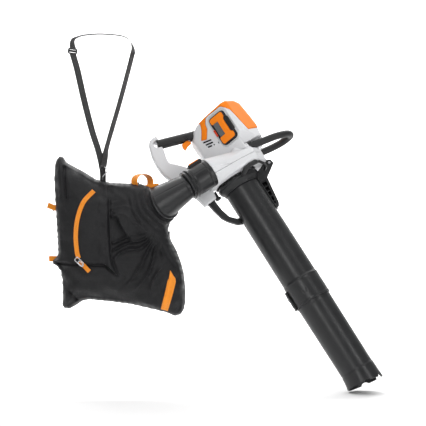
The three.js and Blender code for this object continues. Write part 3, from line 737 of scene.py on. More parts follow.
def grip_field(x, y, z):
    """The rear grip, with fine grooves round it and the pocket of the trigger."""
    grip = rod_field(x, y, z, *GRIP_ENDS, 16.3)
    along = ((x + 158) * 128 - (z - 244) * 32) / np.hypot(128, 32)
    rings = both(np.abs((along + 4.5) % 9 - 4.5) - 0.7, slab(along, 34, 84), 10 - y)
    grip = soft_cut(grip, both(rings, -rod_field(x, y, z, *GRIP_ENDS, 15.2)), 0.6)
    pocket = both(polygon(x, z, POCKET), slab(y, 4, 20))
    button = both(disc(x, z, BUTTON, 5), slab(y, -9, 4.5))
    return both(grip, slab(along, 0, 134), -pocket, -button, 0.5 - housing_field(x, y, z))


def hoop_field(x, y, z):
    """The white hoop behind the grip, with a seam round its middle."""
    hoop = thick(polygon(x, z, inset(HOOP[::-1], 5), 5), slab(y, -1, 25), 6)
    seam = both(np.abs(y - 12) - 0.5, -(polygon(x, z, HOOP) + 1.2))
    bore = rod_field(x, y, z, *GRIP_ENDS, 17.2)
    screw = both(disc(x, z, SCREW, 5.6), y - 2.4)
    return both(hoop, -seam, -bore, -screw)


def trigger_field(x, y, z):
    body = thick(polygon(x, z, inset(TRIGGER, 2), 2), slab(y, 5, 19), 3)
    return both(body, -disc(x, z, TRIGGER_PIN, 1.9))


def screw_field(x, y, z):
    """A star-socket screw in the handle's end."""
    dx, dz = x - SCREW[0], z - SCREW[1]
    r = np.hypot(dx, dz)
    head = thick(r - 5, slab(y, -3.6, -1.2), 1)
    star = both(r - 2.3 - 0.5 * np.cos(6 * np.arctan2(dz, dx)), y + 1.8)
    return union(both(head, -star), both(r - 2.1, slab(y, -2, 8)))


def button_field(x, y, z):
    r = disc(x, z, BUTTON, 0)
    return both(thick(r - 4.6, slab(y, -7.5, 0.8), 1.5), 6.5 - np.sqrt(r**2 + (y + 12) ** 2))


def build_handles():
    for name, node, look, low, high, field, body, grain in (
        ("rear_handle", "rear_grip", GRIP, (-176, -8, 190), (-24, 32, 266), grip_field, "frame", 0.8),
        ("handle_bow", "handle_hoop", WHITE, (-194, -4, -8), (-74, 28, 266), hoop_field, "frame", 1),
        ("throttle", "trigger", ORANGE, (-96, 3, 180), (-56, 21, 213), trigger_field, "trigger_body", 0.5),
        ("bow_screw", "hoop_screw", STEEL, (-172, -5, 239), (-158, 9, 253), screw_field, "frame", 0.3),
        ("lock_button", "lockout_button", BLACK, (-72, -9, 213), (-60, 2, 225), button_field, "button", 0.5),
    ):
        moulded(name, [node], look, low, high, field, body, grain)


def build_front_loop():
    """The looped front handle, a thick soft tube falling gently forward."""
    near, far = LOOP_SIDES
    spots = [(55, near), (132, near), (177, near + 4), (214, near + 22), (232, -7)]
    spots += [(214, far - 22), (177, far - 4), (132, far), (55, far)]
    path = smooth_path([(x, y, 75 - 0.11 * (x - 72)) for x, y in spots], 14)
    wire("hand_loop", ["front_loop"], GRIP, path, 11.8, 40, False, machine_points)


# ---- suction tube ----

GUSSET = [(59.5, -13), (59.5, -128), (66, -128), (71, -119), (84, -28), (127, 3), (111, 14), (70, -2)]
ARCH = [
    (6, -84, 0), (16, -96, 7), (34, -101, 11), (54, -97, 12), (70, -88, 9), (82, -76, 1), (88, -62, -8),
    (86, -40, -10),
]
BOW = [
    (-122, -5), (-96, 0), (-95, -22), (-92, -49), (-83, -79), (-67, -95), (-50, -101), (-50, -124),
    (-73, -115), (-97, -89), (-108, -70), (-116, -38),
]
TUBE_TOP = -21
JOINT_Z = -370
SLEEVE_END = -446
MOUTH_R = 53.5
MOUTH_END = -746


def collar_field(x, y, z):
    """The bell that hooks under the fan housing, with the hinge gusset on its front."""
    r = np.hypot(x, y)
    bell = thick(r - np.interp(z, [TUBE_TOP, -15, -4, 11], [60.5, 61.5, 70, 70]), slab(z, TUBE_TOP, 11), 1.5)
    rim = both(np.abs(r - 70.5) - 1.6, slab(z, 2, 5))
    arm = np.abs(np.abs(y) - 12.75) - 3.25
    plates = thick(rounded(GUSSET[::-1], 2, x, z), arm, 1)
    ears = thick(disc(x, z, HINGE, 11.5), arm, 1)
    edge = np.interp(z, [-119, -28], [71, 84])
    rail = both(np.abs(x - edge + 1.8) - 1.8, slab(y, -16, 16), slab(z, -122, -30))
    ribs = both(np.abs((-z - 27.5) % 18 - 9) - 1.5, slab(z, -128, -34), slab(y, -15, 15), x - edge, 58 - x)
    pockets = both(x - edge + 5.5, 61 - x, slab(z, -118, -34), slab(y, -18, -4), -ribs)
    arch = soft_union(path_field(x, y, z, ARCH, 4.4), path_field(x, y, z, ARCH[:4], 7.5), 6)
    body = soft_union(union(both(plates, -pockets), ears, rail, ribs), union(bell, rim), 2)
    bore = both(r - 57, slab(z, -300, 20))
    tube = both(r - TUBE_R - 0.3, slab(z, -300, TUBE_TOP + 0.3))
    pin = both(disc(x, z, HINGE, 4.3), slab(y, -18, 18))
    lug = both(disc(x, z, HINGE, 12.4), slab(y, -9.5, 9.5))
    return both(soft_union(body, arch, 5), -bore, -tube, -pin, -lug)


def bow_field(x, y, z):
    """The bow behind the tube, a flat hoop with a groove down each face."""
    bow = thick(polygon(x, z, inset(BOW[::-1], 2), 2), slab(y, 3, 22), 3.5)
    across = np.abs(y - 12.5)
    groove = both(polygon(x, z, inset(BOW[::-1], 6)), across - 12, 8.4 - across)
    return both(bow, -groove, TUBE_R + 0.3 - np.hypot(x, y))


def tube_latch_field(x, y, z):
    """The spring hook that holds the tube shut."""
    arm = block(x, y, z, -90, -77, 4, 20, -14, 15, 2.5)
    toe = block(x, y, z, -90, -72.6, 4, 20, -14, -6, 2)
    slots = both(np.abs(z % 5 - 2.5) - 0.8, slab(z, -3, 12), x + 88.8)
    return both(soft_union(arm, toe, 2), -slots)


def clip_field(x, y, z):
    """A slim spring clip lying on the joint of the tubes."""
    strip = block(x, y, z, -66.6, -61, -8, 8, -447, -381, 2)
    slot = block(x, y, z, -80, -50, -3, 3, -436, -394, 2.5)
    catch = both(slab(z, -410, -404), slab(y, -8, 8), -x - 68, x + 62)
    return soft_union(both(strip, -slot), catch, 1.5)


def upper_tube():
    steps = [
        (-3, TUBE_TOP), (-3, JOINT_Z - 4), (-1.6, JOINT_Z - 6), (-1.6, SLEEVE_END), (1.2, SLEEVE_END),
        (1.7, SLEEVE_END + 2), (1.7, SLEEVE_END + 5), (1.1, SLEEVE_END + 7), (1.1, JOINT_Z - 5),
        (1.7, JOINT_Z - 4), (1.5, JOINT_Z), (-0.4, JOINT_Z + 5), (-0.4, TUBE_TOP),
    ]

    def shape(angle, radius, height):
        """A small locking mark pressed into the sleeve beside two mould lines."""
        spot = ((angle + math.radians(112)) % TURN) * TUBE_R
        side = np.minimum(spot, TURN * TUBE_R - spot)
        mark = (np.abs(np.hypot(side, height + 412) - 7) < 1.6) & (height < -408)
        seam = (side > 60) & (side < 61.4)
        return radius - 0.9 * (mark & (radius > TUBE_R)) - 0.5 * (seam & (radius > TUBE_R - 1)), height

    profile = [(TUBE_R + out, z) for out, z in steps]
    turned("upper_pipe", ["tube_upper"], profile, 3, 288, machine_points, shape, "suction_tube")


def mouth_height(angle):
    """Where the slanted, scalloped rim of the mouth ends."""
    floor = MOUTH_END - 0.15 * MOUTH_R * np.cos(angle)
    bite = (angle - math.radians(20) + math.pi / 6) % (math.pi / 3) - math.pi / 6
    reach = np.clip(1 - (bite * MOUTH_R / 14) ** 2, 0, 1)
    return np.maximum(floor, np.where(reach > 0, -754 + 14 * np.sqrt(reach), floor))


def lower_tube():
    top = SLEEVE_END - 6
    outer = [(-4.8, JOINT_Z - 7), (-1.9, JOINT_Z - 7), (-1.9, top - 3), (-2.4, top - 6)]
    mouth = [
        (0.2, -680), (0.2, -697), (1.4, -699), (2.2, -745), (1.8, MOUTH_END), (-0.6, MOUTH_END), (-2.8, -688),
    ]

    def shape(angle, radius, height):
        """The rim follows the slant and the scallops, and flares on the handle's side."""
        low = np.clip((-700 - height) / 46, 0, 1)
        flare = 5 * low**2 * np.clip(-np.cos(angle), 0, 1) ** 2
        return radius + flare, height + low * (mouth_height(angle) - MOUTH_END)

    profile = [(TUBE_R + out, z) for out, z in outer] + [(MOUTH_R + out, z) for out, z in mouth]
    profile.append((TUBE_R - 4.8, top))
    turned("lower_pipe", ["tube_lower"], profile, 3, 288, machine_points, shape, "suction_tube")


def build_tube():
    upper_tube()
    lower_tube()
    for name, node, low, high, field, body, grain in (
        ("tube_bell", "tube_collar", (-76, -110, -132), (134, 76, 16), collar_field, "suction_tube", 1),
        ("latch_bow", "tube_bow", (-126, 1, -128), (-44, 24, 4), bow_field, "suction_tube", 1),
        ("pipe_clip", "sleeve_clip", (-70, -10, -450), (-56, 10, -378), clip_field, "suction_tube", 0.7),
        ("latch_hook", "tube_latch", (-92, 2, -16), (-70, 22, 17), tube_latch_field, "latch", 0.6),
    ):
        moulded(name, [node], BLACK, low, high, field, body, grain)


# ---- outlet elbow ----

CONE_START = 178
CONE_END = 262
DUCT_R = 46
ELBOW_SEAM = math.radians(-78)  # where the mould seam runs, by angle from the top


def from_duct(points):
    """Up, sideways and outward from the fan axis, in millimetres, to metres in the object's frame."""
    c, s = math.cos(DUCT_TILT), math.sin(DUCT_TILT)
    up, side, out = points.T
    out = out + DUCT_AT[0]
    x = DUCT_AT[0] - s * up - c * out
    z = DUCT_AT[2] + c * up - s * out
    return machine_points(np.stack([x, DUCT_AT[1] + side, z], -1))


def rim_shift(angle):
    """The cone's mouth is cut at a slant: how far its rim lies beyond the middle, by angle from the top."""
    return 5 + 5 * np.cos(angle) - 37 * np.sin(angle) + 11 * np.sin(2 * angle)


def from_seam(angle, radius, seam):
    """How far round a place lies from a seam."""
    return np.abs(np.angle(np.exp(1j * (angle - seam)))) * radius


def build_elbow():
    collar = [
        (42.6, 78.4), (44.6, 78.4), (46, 80), (46, 92), (45.3, 92.6), (45.3, 94.4), (46, 95), (46, 138),
        (45, 141), (44.6, 146), (42.6, 146),
    ]
    lips = [
        (36, 146.4), (46.4, 146.4), (48, 147.4), (48.5, 149), (48, 151), (46.6, 152.4), (44.4, 153.4),
        (43.8, 155), (44.4, 157), (46, 158.4), (47, 160), (47, 162), (46, 164), (44, 165), (36, 165),
    ]
    cone = [
        (35.5, 165.4), (39, 165.4), (41, 177), (41.6, 178), (54.2, 254), (55.4, 256), (61, 257), (62, 259),
        (61.4, 261.2), (60, CONE_END), (53, CONE_END), (51.5, 259),
    ]

    def split(angle, radius, height):
        """The collar's two mould seams."""
        away = np.minimum(*[from_seam(angle, radius, ELBOW_SEAM + half) for half in (0, math.pi)])
        return radius - 1.1 * ((away < 1.2) & (radius > 43)), height

    def slanted(angle, radius, height):
        """The cone stretched to its slanted rim, with a mould seam along it."""
        share = np.clip((height - CONE_START) / (CONE_END - CONE_START), 0, 1)
        groove = 1.3 * ((from_seam(angle, radius, ELBOW_SEAM) < 1.3) & (radius > 38.5) & (height < 254))
        return radius + 0.16 * rim_shift(angle) * share - groove, height + rim_shift(angle) * share

    turned("elbow_sleeve", ["elbow_collar"], collar, 2.5, 240, from_duct, split)
    turned("elbow_lips", ["elbow_ring"], lips, 2.5, 240, from_duct)
    turned("elbow_funnel", ["elbow_cone"], cone, 2.5, 240, from_duct, slanted)


def elbow_latch_field(up, side, out):
    """The lift-up catch on the elbow's sleeve, ribbed for the thumb."""
    pad = block(up, side, out, 38, 51, -24, 12, 84, 132, 3)
    ribs = both(np.abs((out % 5) - 2.5) - 0.9, slab(out, 90, 112), 49.8 - up, slab(side, -19, 7))
    return both(pad, -ribs, DUCT_R + 0.5 - np.hypot(up, side))


def latch_line_field(up, side, out):
    return block(up, side, out, 48.6, 52.2, -25, -20.6, 92, 128, 1)


def build_elbow_latch():
    for name, look, field in (
        ("catch_line", ORANGE, latch_line_field),
        ("sleeve_catch", BLACK, elbow_latch_field),
    ):
        low, high = (36, -27, 82), (54, 14, 134)
        moulded(name, ["elbow_latch"], look, low, high, field, "duct_latch", 0.7, from_duct)


# ---- catch bag ----

SEAM_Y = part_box("bag_front")[1][1] / MM
FRONT_DEPTH = SEAM_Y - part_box("bag_front")[0][1] / MM
REAR_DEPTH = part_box("bag_rear")[1][1] / MM - SEAM_Y
BAG_OUTLINE = [
    (-356, -57), (-345, -60), (-337, -74), (-322, -83), (-276, -108), (-245, -128), (-198, -139),
    (-150, -141), (-105, -141), (-84, -149), (-66, -176), (-48, -218), (-22, -280), (-12, -317),
    (5, -348), (19, -385), (27, -415), (32.5, -465), (32.5, -502), (29, -527), (18, -544), (3, -549),
    (-28, -537), (-74, -526), (-136, -512), (-198, -504), (-260, -498), (-284, -501), (-306, -516),
    (-322, -525), (-340, -525), (-345, -518), (-345, -471), (-346, -440), (-351, -410), (-361, -397),
    (-375, -386), (-377, -377), (-361, -366), (-359, -348), (-364, -255), (-368, -193), (-371, -131),
    (-370, -98), (-366, -70),
]
NECK_AT = from_duct(np.array([[0, 0, CONE_END]]))[0] / MM
NECK_AXES = from_duct(np.eye(3)) / MM - from_duct(np.zeros((1, 3))) / MM  # its up, side and out
FLAP_SIDE = [(-430, -168), (-416, -174), (-361, -192), (-277, -197), (-192, -200), (-60, -205)]
FLAP_FOOT = [(-390, -384), (-361, -381), (-283, -384), (-207, -387), (-174, -416)]
FAN_AT = (-10, -262)  # x, z where the creases below the neck spread from
# Creases and swellings of the front panel: height, ends in x and z, and half width.
FOLDS = [
    (-7, (-337, -92), (-329, -186), 5),
    (3, (-352, -80), (-347, -190), 9),
    (-8, (-318, -474), (-293, -505), 6),
    (-4, (-60, -300), (0, -390), 7),
    (-3, (-150, -430), (-20, -470), 10),
    (2.4, (-205, -150), (-150, -190), 8),
]
CLOTH_STEP = 2.8  # grid step of the bag, mm


def smooth_step(value, low, high):
    t = np.clip((value - low) / (high - low), 0, 1)
    return t * t * (3 - 2 * t)


def ripples(x, z, length, seed, count=7):
    """Smooth seeded unevenness, mostly between -1 and 1, with waves about length long."""
    rng = np.random.default_rng(seed)
    total = 0
    for _ in range(count):
        turn, phase = rng.uniform(0, TURN, 2)
        wave = length * rng.uniform(0.7, 1.5)
        total = total + np.sin((x * math.cos(turn) + z * math.sin(turn)) * TURN / wave + phase)
    return total / math.sqrt(count)


def ridge(x, z, start, end, width):
    """1 on a line, falling away across width."""
    start, span = np.array(start, float), np.subtract(end, start)
    along = np.clip(((x - start[0]) * span[0] + (z - start[1]) * span[1]) / (span @ span), 0, 1)
    away = np.hypot(x - start[0] - along * span[0], z - start[1] - along * span[1])
    return np.exp(-((away / width) ** 2))


def bag_pillow(x, y, z, edge):
    """The filled bag between its front and rear panels."""
    depth = np.where(y < SEAM_Y, FRONT_DEPTH * np.interp(z, [-520, -400, -100], [0.86, 0.97, 0.74]), REAR_DEPTH)
    share = np.maximum(1 + edge / 150, 0)
    lift = np.abs(y - SEAM_Y) / depth
    slope = np.hypot(2.4 * share**1.4 / 150, 2.6 * lift**1.6 / depth) + 0.002
    return (share**2.4 + lift**2.6 - 1) / slope


def neck_place(x, y, z):
    """Distance from the neck's axis, angle from its top, and distance past the funnel's rim."""
    dx, dy, dz = x - NECK_AT[0], y - NECK_AT[1], z - NECK_AT[2]
    up, side, out = [dx * v[0] + dy * v[1] + dz * v[2] for v in NECK_AXES]
    angle = np.arctan2(side, up)
    return np.hypot(up, side), angle, out - rim_shift(angle)


def bag_neck(away, angle, past):
    """The gathered sleeve of cloth that leads from the funnel's rim into the bag."""
    start = 52 + 0.16 * rim_shift(angle)
    radius = start + np.interp(past, [-4, 5, 12, 24, 50, 100], [-1, -1, 5, 10, 15, 20])
    return both(away - radius, -3 - past, past - 120)


def neck_folds(away, angle, past):
    """Rings of slack cloth pushed together behind the rim."""
    phase = (past - 6) / 21 + 0.2 * np.sin(2 * angle + 0.8) + 0.1 * np.sin(5 * angle)
    fold = np.abs(np.sin(math.pi * phase)) ** 0.6
    near = smooth_step(past, 6, 13) * (1 - smooth_step(past, 62, 92)) * (1 - smooth_step(away, 100, 125))
    return near * (13 * fold - 4)


def flap_inset(x, z):
    """How far inside the lapped front panel a place lies."""
    z_rows, z_edge = zip(*FLAP_SIDE)
    x_rows, x_edge = zip(*FLAP_FOOT)
    return np.minimum(np.interp(z, z_rows, z_edge) - x, z - np.interp(x, x_rows, x_edge))


def crease_fan(x, z, flap):
    """Creases that spread from below the neck over the part right of the flap."""
    turn = np.degrees(np.arctan2(z - FAN_AT[1], x - FAN_AT[0])) % 360
    far = np.hypot(x - FAN_AT[0], z - FAN_AT[1])
    rays = np.sin(np.radians(turn * 14) + 1.2 * ripples(x, z, 110, 5))
    sector = smooth_step(turn, 150, 172) * (1 - smooth_step(turn, 248, 270))
    spread = smooth_step(far, 60, 100) * (1 - smooth_step(far, 165, 260)) * (1 - smooth_step(flap, -14, -2))
    return 7.5 * sector * spread * (1 - 2 * np.abs(rays) ** 0.6)


def panel_relief(x, z, edge):
    """Creases and laps of the front panel, outward, in millimetres."""
    flap = flap_inset(x, z)
    lap = 6 * smooth_step(flap, -0.6, 2) - 6 * np.exp(-(((flap + 4) / 3.5) ** 2))
    lap = lap * (1 - smooth_step(z, -205, -178))
    strip = smooth_step(flap, 0, 6) * (1 - smooth_step(flap, 26, 40)) * smooth_step(x, -245, -225)
    lap = lap + strip * (1.6 * ripples(x, z * 0.6, 24, 3) + 1.5)
    folds = sum(height * ridge(x, z, start, end, width) for height, start, end, width in FOLDS)
    slack = 4 * ripples(x, z, 120, 11) + 2.2 * ripples(x, z, 46, 12) * (1 - 0.7 * smooth_step(flap, 0, 10))
    return smooth_step(-edge, 4, 16) * (lap + crease_fan(x, z, flap) + folds + slack)


def bag_field(x, y, z):
    """The bag with its neck, its creases, the puckered edge and the piping round its seam."""
    edge = polygon(x, z, BAG_OUTLINE)
    away, angle, past = neck_place(x, y, z)
    free = np.maximum(smooth_step(away, 80, 105), smooth_step(past, 45, 85))
    pucker = 1.3 * np.sin(np.arctan2(z + 320, x + 165) * 64) * np.exp(np.minimum(edge, 0) / 9)
    hem = 0.7 * np.exp(-(((edge + 8) / 2.2) ** 2))
    front = panel_relief(x, z, edge)
    rear = smooth_step(-edge, 4, 20) * (3 * ripples(x, z, 130, 21) + 1.3 * ripples(x, z, 50, 22))
    relief = (np.where(y < SEAM_Y, front, rear) + pucker + hem) * free
    piping = np.hypot(edge + 0.6, y - SEAM_Y) - 2.3 - 6 * (1 - free)
    neck = bag_neck(away, angle, past) - neck_folds(away, angle, past)
    body = soft_union(bag_pillow(x, y, z, edge) - relief, neck, 20)
    return np.where(free > 0.3, soft_union(body, piping, 1.5), body)


def front_of(x, z):
    """Where the bag's front skin lies over arrays of places, in y."""
    rows = np.linspace(SEAM_Y - FRONT_DEPTH - 20, SEAM_Y, 140)
    values = bag_field(np.ravel(x)[:, None, None], rows[None, :, None], np.ravel(z)[:, None, None])[:, :, 0]
    first = np.clip(np.argmax(values < 0, axis=1), 1, len(rows) - 1)
    pick = np.arange(len(first))
    before, after = values[pick, first - 1], values[pick, first]
    share = np.clip(before / (before - after), 0, 1)
    return (rows[first - 1] + share * (rows[first] - rows[first - 1])).reshape(np.shape(x))


def build_bag():
    low = (-382, SEAM_Y - FRONT_DEPTH - 8, -554)
    high = (38, SEAM_Y + REAR_DEPTH + 8, -52)
    points, faces = field_mesh(low, high, CLOTH_STEP, bag_field)
    nodes = ["bag_front", "bag_rear", "bag_neck", "neck_band"]
    mesh_object("catch_bag", nodes, CLOTH, object_points(points), faces)


# ---- webbing ----


def path_lengths(path):
    """Distance along a path at each of its places."""
    return np.concatenate([[0], np.cumsum(np.linalg.norm(np.diff(path, axis=0), axis=1))])


def tape(name, nodes, look, grid, thickness=1.9):
    """A closed tape from a grid of places (along, across), with its lengths as its UV."""
    rows, columns = grid.shape[:2]
    normal = unit(np.cross(np.gradient(grid, axis=0), np.gradient(grid, axis=1)))
    rim = np.ones(columns)
    rim[[0, -1]] = 0.35
    half = normal * (thickness / 2) * rim[None, :, None]
    points = np.concatenate([(grid + half).reshape(-1, 3), (grid - half).reshape(-1, 3)])
    back = rows * columns
    faces = []
    for i in range(rows - 1):
        for a in range(i * columns, (i + 1) * columns - 1):
            faces.append((a, a + columns, a + columns + 1, a + 1))
            faces.append((back + a, back + a + 1, back + a + columns + 1, back + a + columns))
    border = list(range(columns)) + list(range(2 * columns - 1, back, columns))
    border += list(range(back - 2, back - columns - 1, -1)) + list(range(back - 2 * columns, 0, -columns))
    for a, b in zip(border, border[1:] + border[:1]):
        faces.append((a, b, back + b, back + a))
    obj = mesh_object(name, nodes, look, object_points(points), faces)
    along, across = path_lengths(grid[:, columns // 2]), path_lengths(grid[0])
    layer = obj.data.uv_layers.new(name="length")
    for loop in obj.data.loops:
        i, k = divmod(loop.vertex_index % back, columns)
        layer.data[loop.index].uv = along[i] * MM, across[k] * MM


def ribbon(path, across, widths, columns=9):
    """A grid of places across a path."""
    share = np.linspace(-0.5, 0.5, columns)[None, :, None]
    return path[:, None] + across[:, None] * share * np.reshape(widths, (-1, 1, 1))


def hung_grid(points, faces, width):
    """A ribbon through places, its width turned along faces."""
    path = smooth_path(points, 8)
    along = unit(np.gradient(path, axis=0))
    across = smooth_path(faces, 8)
    across = unit(across - along * np.sum(across * along, axis=1, keepdims=True))
    return ribbon(path, across, width)


def eased(rows):
    """Each row averaged with its neighbours, never sinking behind where it was."""
    padded = np.pad(rows, ((4, 4), (0, 0)), mode="edge")
    return np.minimum(rows, sum(padded[i : i + len(rows)] for i in range(9)) / 9)


def laid_grid(points, widths, lift, per_span):
    """A ribbon lying on the bag's front through (x, z) places."""
    path = smooth_path(points, per_span)
    width = np.interp(np.linspace(0, 1, len(path)), np.linspace(0, 1, len(widths)), widths)
    along = unit(np.gradient(path, axis=0))
    flat = ribbon(path, np.stack([along[:, 1], -along[:, 0]], -1), width)
    depth = eased(front_of(flat[..., 0], flat[..., 1])) - lift
    return np.stack([flat[..., 0], depth, flat[..., 1]], -1)


def stitches(name, look, paths, pitch=3.4):
    """Rows of short thread stitches standing on a surface, each a thin rod."""
    points, faces = [], []
    for path in paths:
        steps = path_lengths(path)
        for start in np.arange(pitch * 0.5, steps[-1] - pitch * 0.6, pitch):
            spots = np.linspace(start, start + pitch * 0.62, 2)
            first, last = np.stack([np.interp(spots, steps, column) for column in path.T], -1)
            rod, skin = swept_mesh(np.linspace(first, last, 3), 0.42, 6)
            faces += [tuple(index + len(points) for index in face) for face in skin]
            points += list(rod)
    mesh_object(name, [], look, object_points(points), faces)


def edge_rows(grid, inset_by, lift):
    """Two lines of places just inside a tape's long edges, raised off its face toward the viewer."""
    near, far = grid[:, 0], grid[:, -1]
    share = inset_by / np.maximum(np.linalg.norm(far - near, axis=1, keepdims=True), 1)
    return [near + (far - near) * share - [0, lift, 0], far + (near - far) * share - [0, lift, 0]]


ZIP = [(-244, -164), (-273, -198), (-290, -246), (-296, -300), (-293, -347), (-287, -368)]
STRIPE = [(-11, -407), (-8, -424), (-7, -440), (-18, -486), (-30, -528)]
TAIL = [(-283, -378), (-271, -391), (-254, -408)]


def build_front_tapes():
    band = laid_grid(ZIP, [14], 1.6, 14)
    tape("closing_band", ["zip_tape"], ORANGE_WEB, band)
    stripe = laid_grid(STRIPE, [1, 13, 25, 24, 22], 1.2, 12)
    tape("hem_stripe", ["corner_stripe"], ORANGE_WEB, stripe, 1.4)
    tape("band_tail", ["zip_pull"], ORANGE_WEB, laid_grid(TAIL, [13], 3.4, 8))
    stitches("tape_stitches", ORANGE_THREAD, edge_rows(band, 2.2, 1.2) + edge_rows(stripe[10:], 2.4, 1.0))


def rounded_loop(centre, across, along, half_across, half_along, corner):
    """A closed path round a rectangle with rounded corners."""
    centre, across, along = (np.array(value, float) for value in (centre, across, along))
    path = []
    for quarter, (s, t) in enumerate([(1, 1), (-1, 1), (-1, -1), (1, -1)]):
        for turn in np.radians(np.linspace(quarter * 90, quarter * 90 + 90, 6)):
            a = s * (half_across - corner) + corner * math.cos(turn)
            b = t * (half_along - corner) + corner * math.sin(turn)
            path.append(centre + unit(across) * a + unit(along) * b)
    return path


def build_buckle():
    """The wire slide at the lower end of the band, tilted as it hangs."""
    x, z = -288, -376
    y = float(front_of(np.array([x]), np.array([z]))[0]) - 5.5
    tilt = (0.72, 0, -0.7)
    down = (-0.62, 0.12, -0.78)
    frame_path = rounded_loop((x + 3, y, z - 2), tilt, down, 14, 6.5, 3)
    wire("band_slide", ["zip_slider"], ZINC, frame_path, 1.5)
    lower = rounded_loop((x + 8, y - 1, z - 8.5), tilt, down, 9.5, 3.6, 2)
    wire("band_slide_bar", ["zip_ring"], ZINC, lower, 1.3)


def build_side_tab(name, node, x, z, drop):
    """A short tape folded double round the seam, its tip lowered by drop."""
    fold = [(6, -7, 0), (-8, -7, 0.4), (-22, -5, 1), (-26, -2, 1.1), (-22, 1, 1), (-8, 3, 0.4), (6, 3, 0)]
    places = [(x + dx, SEAM_Y + dy, z + drop * share) for dx, dy, share in fold]
    tape(name, [node], ORANGE_WEB, hung_grid(places, [(0.3 * drop / 9, 0, 1)] * len(fold), 17))


def build_loops():
    """The carrying loop on the top seam, its short tongue and the two side tabs."""
    carry = [
        (-121, -190, -156), (-123, -194, -130), (-115, -184, -116), (-100, -165, -111),
        (-85, -146, -116), (-77, -136, -130), (-79, -140, -156),
    ]
    grid = hung_grid(carry, [(0.8, -0.6, 0)] * len(carry), 25)
    tape("carrying_loop", ["carry_loop"], ORANGE_WEB, grid)
    rows = [row for foot in (grid[6:12], grid[-12:-6]) for row in (foot[:, 1], foot[:, -2], foot[0])]
    stitches("loop_stitches", ORANGE_THREAD, [row - [0, 1.4, 0] for row in rows])
    tongue = [(-94, -150, -151), (-74, -150, -147), (-50, -150, -145)]
    tape("loop_tongue", [], ORANGE_WEB, hung_grid(tongue, [(0, 0.3, 1)] * 3, 12))
    build_side_tab("tab_high", "side_tab_upper", -366, -218, 9)
    build_side_tab("tab_low", "side_tab_lower", -362, -373, 0)
    eye = rounded_loop((-376, SEAM_Y - 4, -226), (0.8, 0.2, 0.5), (0, 1, 0.2), 5, 5, 4.9)
    wire("tab_ring", [], ZINC, eye, 1.2)


# ---- shoulder strap ----

STRAP_Y = -176
LEFT = [(-315, 262), (-300, 209), (-279, 116), (-255, 23), (-238, -30), (-229, -64), (-223, -100)]
OVER = [
    (-314, 276), (-316, 292), (-312, 305), (-300, 312), (-284, 317), (-260, 320), (-230, 321.5), (-200, 320),
    (-170, 317), (-150, 311), (-138, 301), (-131, 288), (-128, 276), (-128, 262),
]
RIGHT = [(-128, 268), (-143, 209), (-168, 116), (-195, 23), (-210, -30), (-216, -62), (-220, -94)]
JOINED = [(-222, -88), (-222, -100), (-221, -112), (-221, -124), (-221, -138)]
LEFT_FACE = (0.62, 0.78, 0)
RIGHT_FACE = (0.42, 0.91, 0)


def strap_run(name, nodes, points, faces, width=29, y=STRAP_Y, thickness=1.8):
    """A run of strap through (x, z) places at one depth; gives back its grid."""
    grid = hung_grid([(x, y, z) for x, z in points], faces, width)
    tape(name, nodes, BLACK_WEB, grid, thickness)
    return grid


def build_strap():
    low_end = [(0.6, 0.8, 0), (0.5, 0.86, 0)]
    left = strap_run("strap_front_run", ["strap_left"], LEFT, [LEFT_FACE] * 5 + low_end)
    strap_run("strap_rear_run", ["strap_right"], RIGHT, [RIGHT_FACE] * 5 + low_end, y=STRAP_Y + 3)
    faces = []
    for share in np.linspace(0, 1, len(OVER)):
        lean = LEFT_FACE[0] if share < 0.5 else RIGHT_FACE[0]
        turn = math.asin(lean) * max(0, 1 - 4 * min(share, 1 - share))
        faces.append((math.sin(turn), math.cos(turn), 0))
    strap_run("strap_shoulder_run", ["strap_top"], OVER, faces)
    joined = strap_run("strap_end", [], JOINED, [(0.93, 0.3, 0)] * 5, 19, STRAP_Y - 3, 3)
    rows = edge_rows(left[4:-4], 2.6, 1.3) + edge_rows(joined[2:-2], 2.6, 2.2)
    stitches("strap_stitches", BLACK_THREAD, rows, 4)


def build_strap_fittings():
    """The plastic slide high on the strap and the metal hook, ring and eye that hold it to the bag."""
    slide = rounded_loop((-315, STRAP_Y, 268.5), LEFT_FACE, (0.1, 0, 1), 17.5, 7, 4.2)
    wire("slide_frame", ["strap_slider"], BLACK, slide, 2.6, 12)
    bar = rounded_loop((-315, STRAP_Y - 2.5, 268.5), LEFT_FACE, (0.1, 0, 1), 16, 1.6, 0.96)
    wire("slide_bar", [], BLACK, bar, 2, 12)
    box_ring = rounded_loop((-222, STRAP_Y, -93), (0.3, 0.95, 0), (0, 0, 1), 17, 5.5, 3)
    wire("strap_box_ring", ["strap_ring"], GUNMETAL, box_ring, 2)
    hook = [
        (-216, -6, -90), (-212, -7, -92), (-208, -7, -98), (-209, -6, -106), (-214, -5, -111),
        (-219, -4, -116), (-222, -3, -122), (-219, -2, -127),
    ]
    path = smooth_path([(x, STRAP_Y + dy, z) for x, dy, z in hook], 6)
    wire("trigger_hook", ["snap_hook"], ZINC, path, 1.9, 12, closed=False)
    eye = rounded_loop((-221, STRAP_Y, -128), (0.2, 0.98, 0), (0, 0, 1), 11, 5, 4.5)
    wire("hook_eye", ["bag_ring"], GUNMETAL, eye, 1.8)


# ---- pieces kept from the CAD frame ----

INNER = [
    (STEEL, ["rotor_shaft", "bearing_upper", "bearing_lower", "hub_nut", "trigger_pin", "hinge_pin"]),
    (CAST, ["fan_impeller", "motor_can"]),
    (BLADE, ["shredder_blade"]),
    (IRON, ["motor_stator", "rotor_core"]),
    (BLACK, ["battery_bay", "contact_block", "trigger_switch"]),
    (BOARD, ["control_board"]),
]


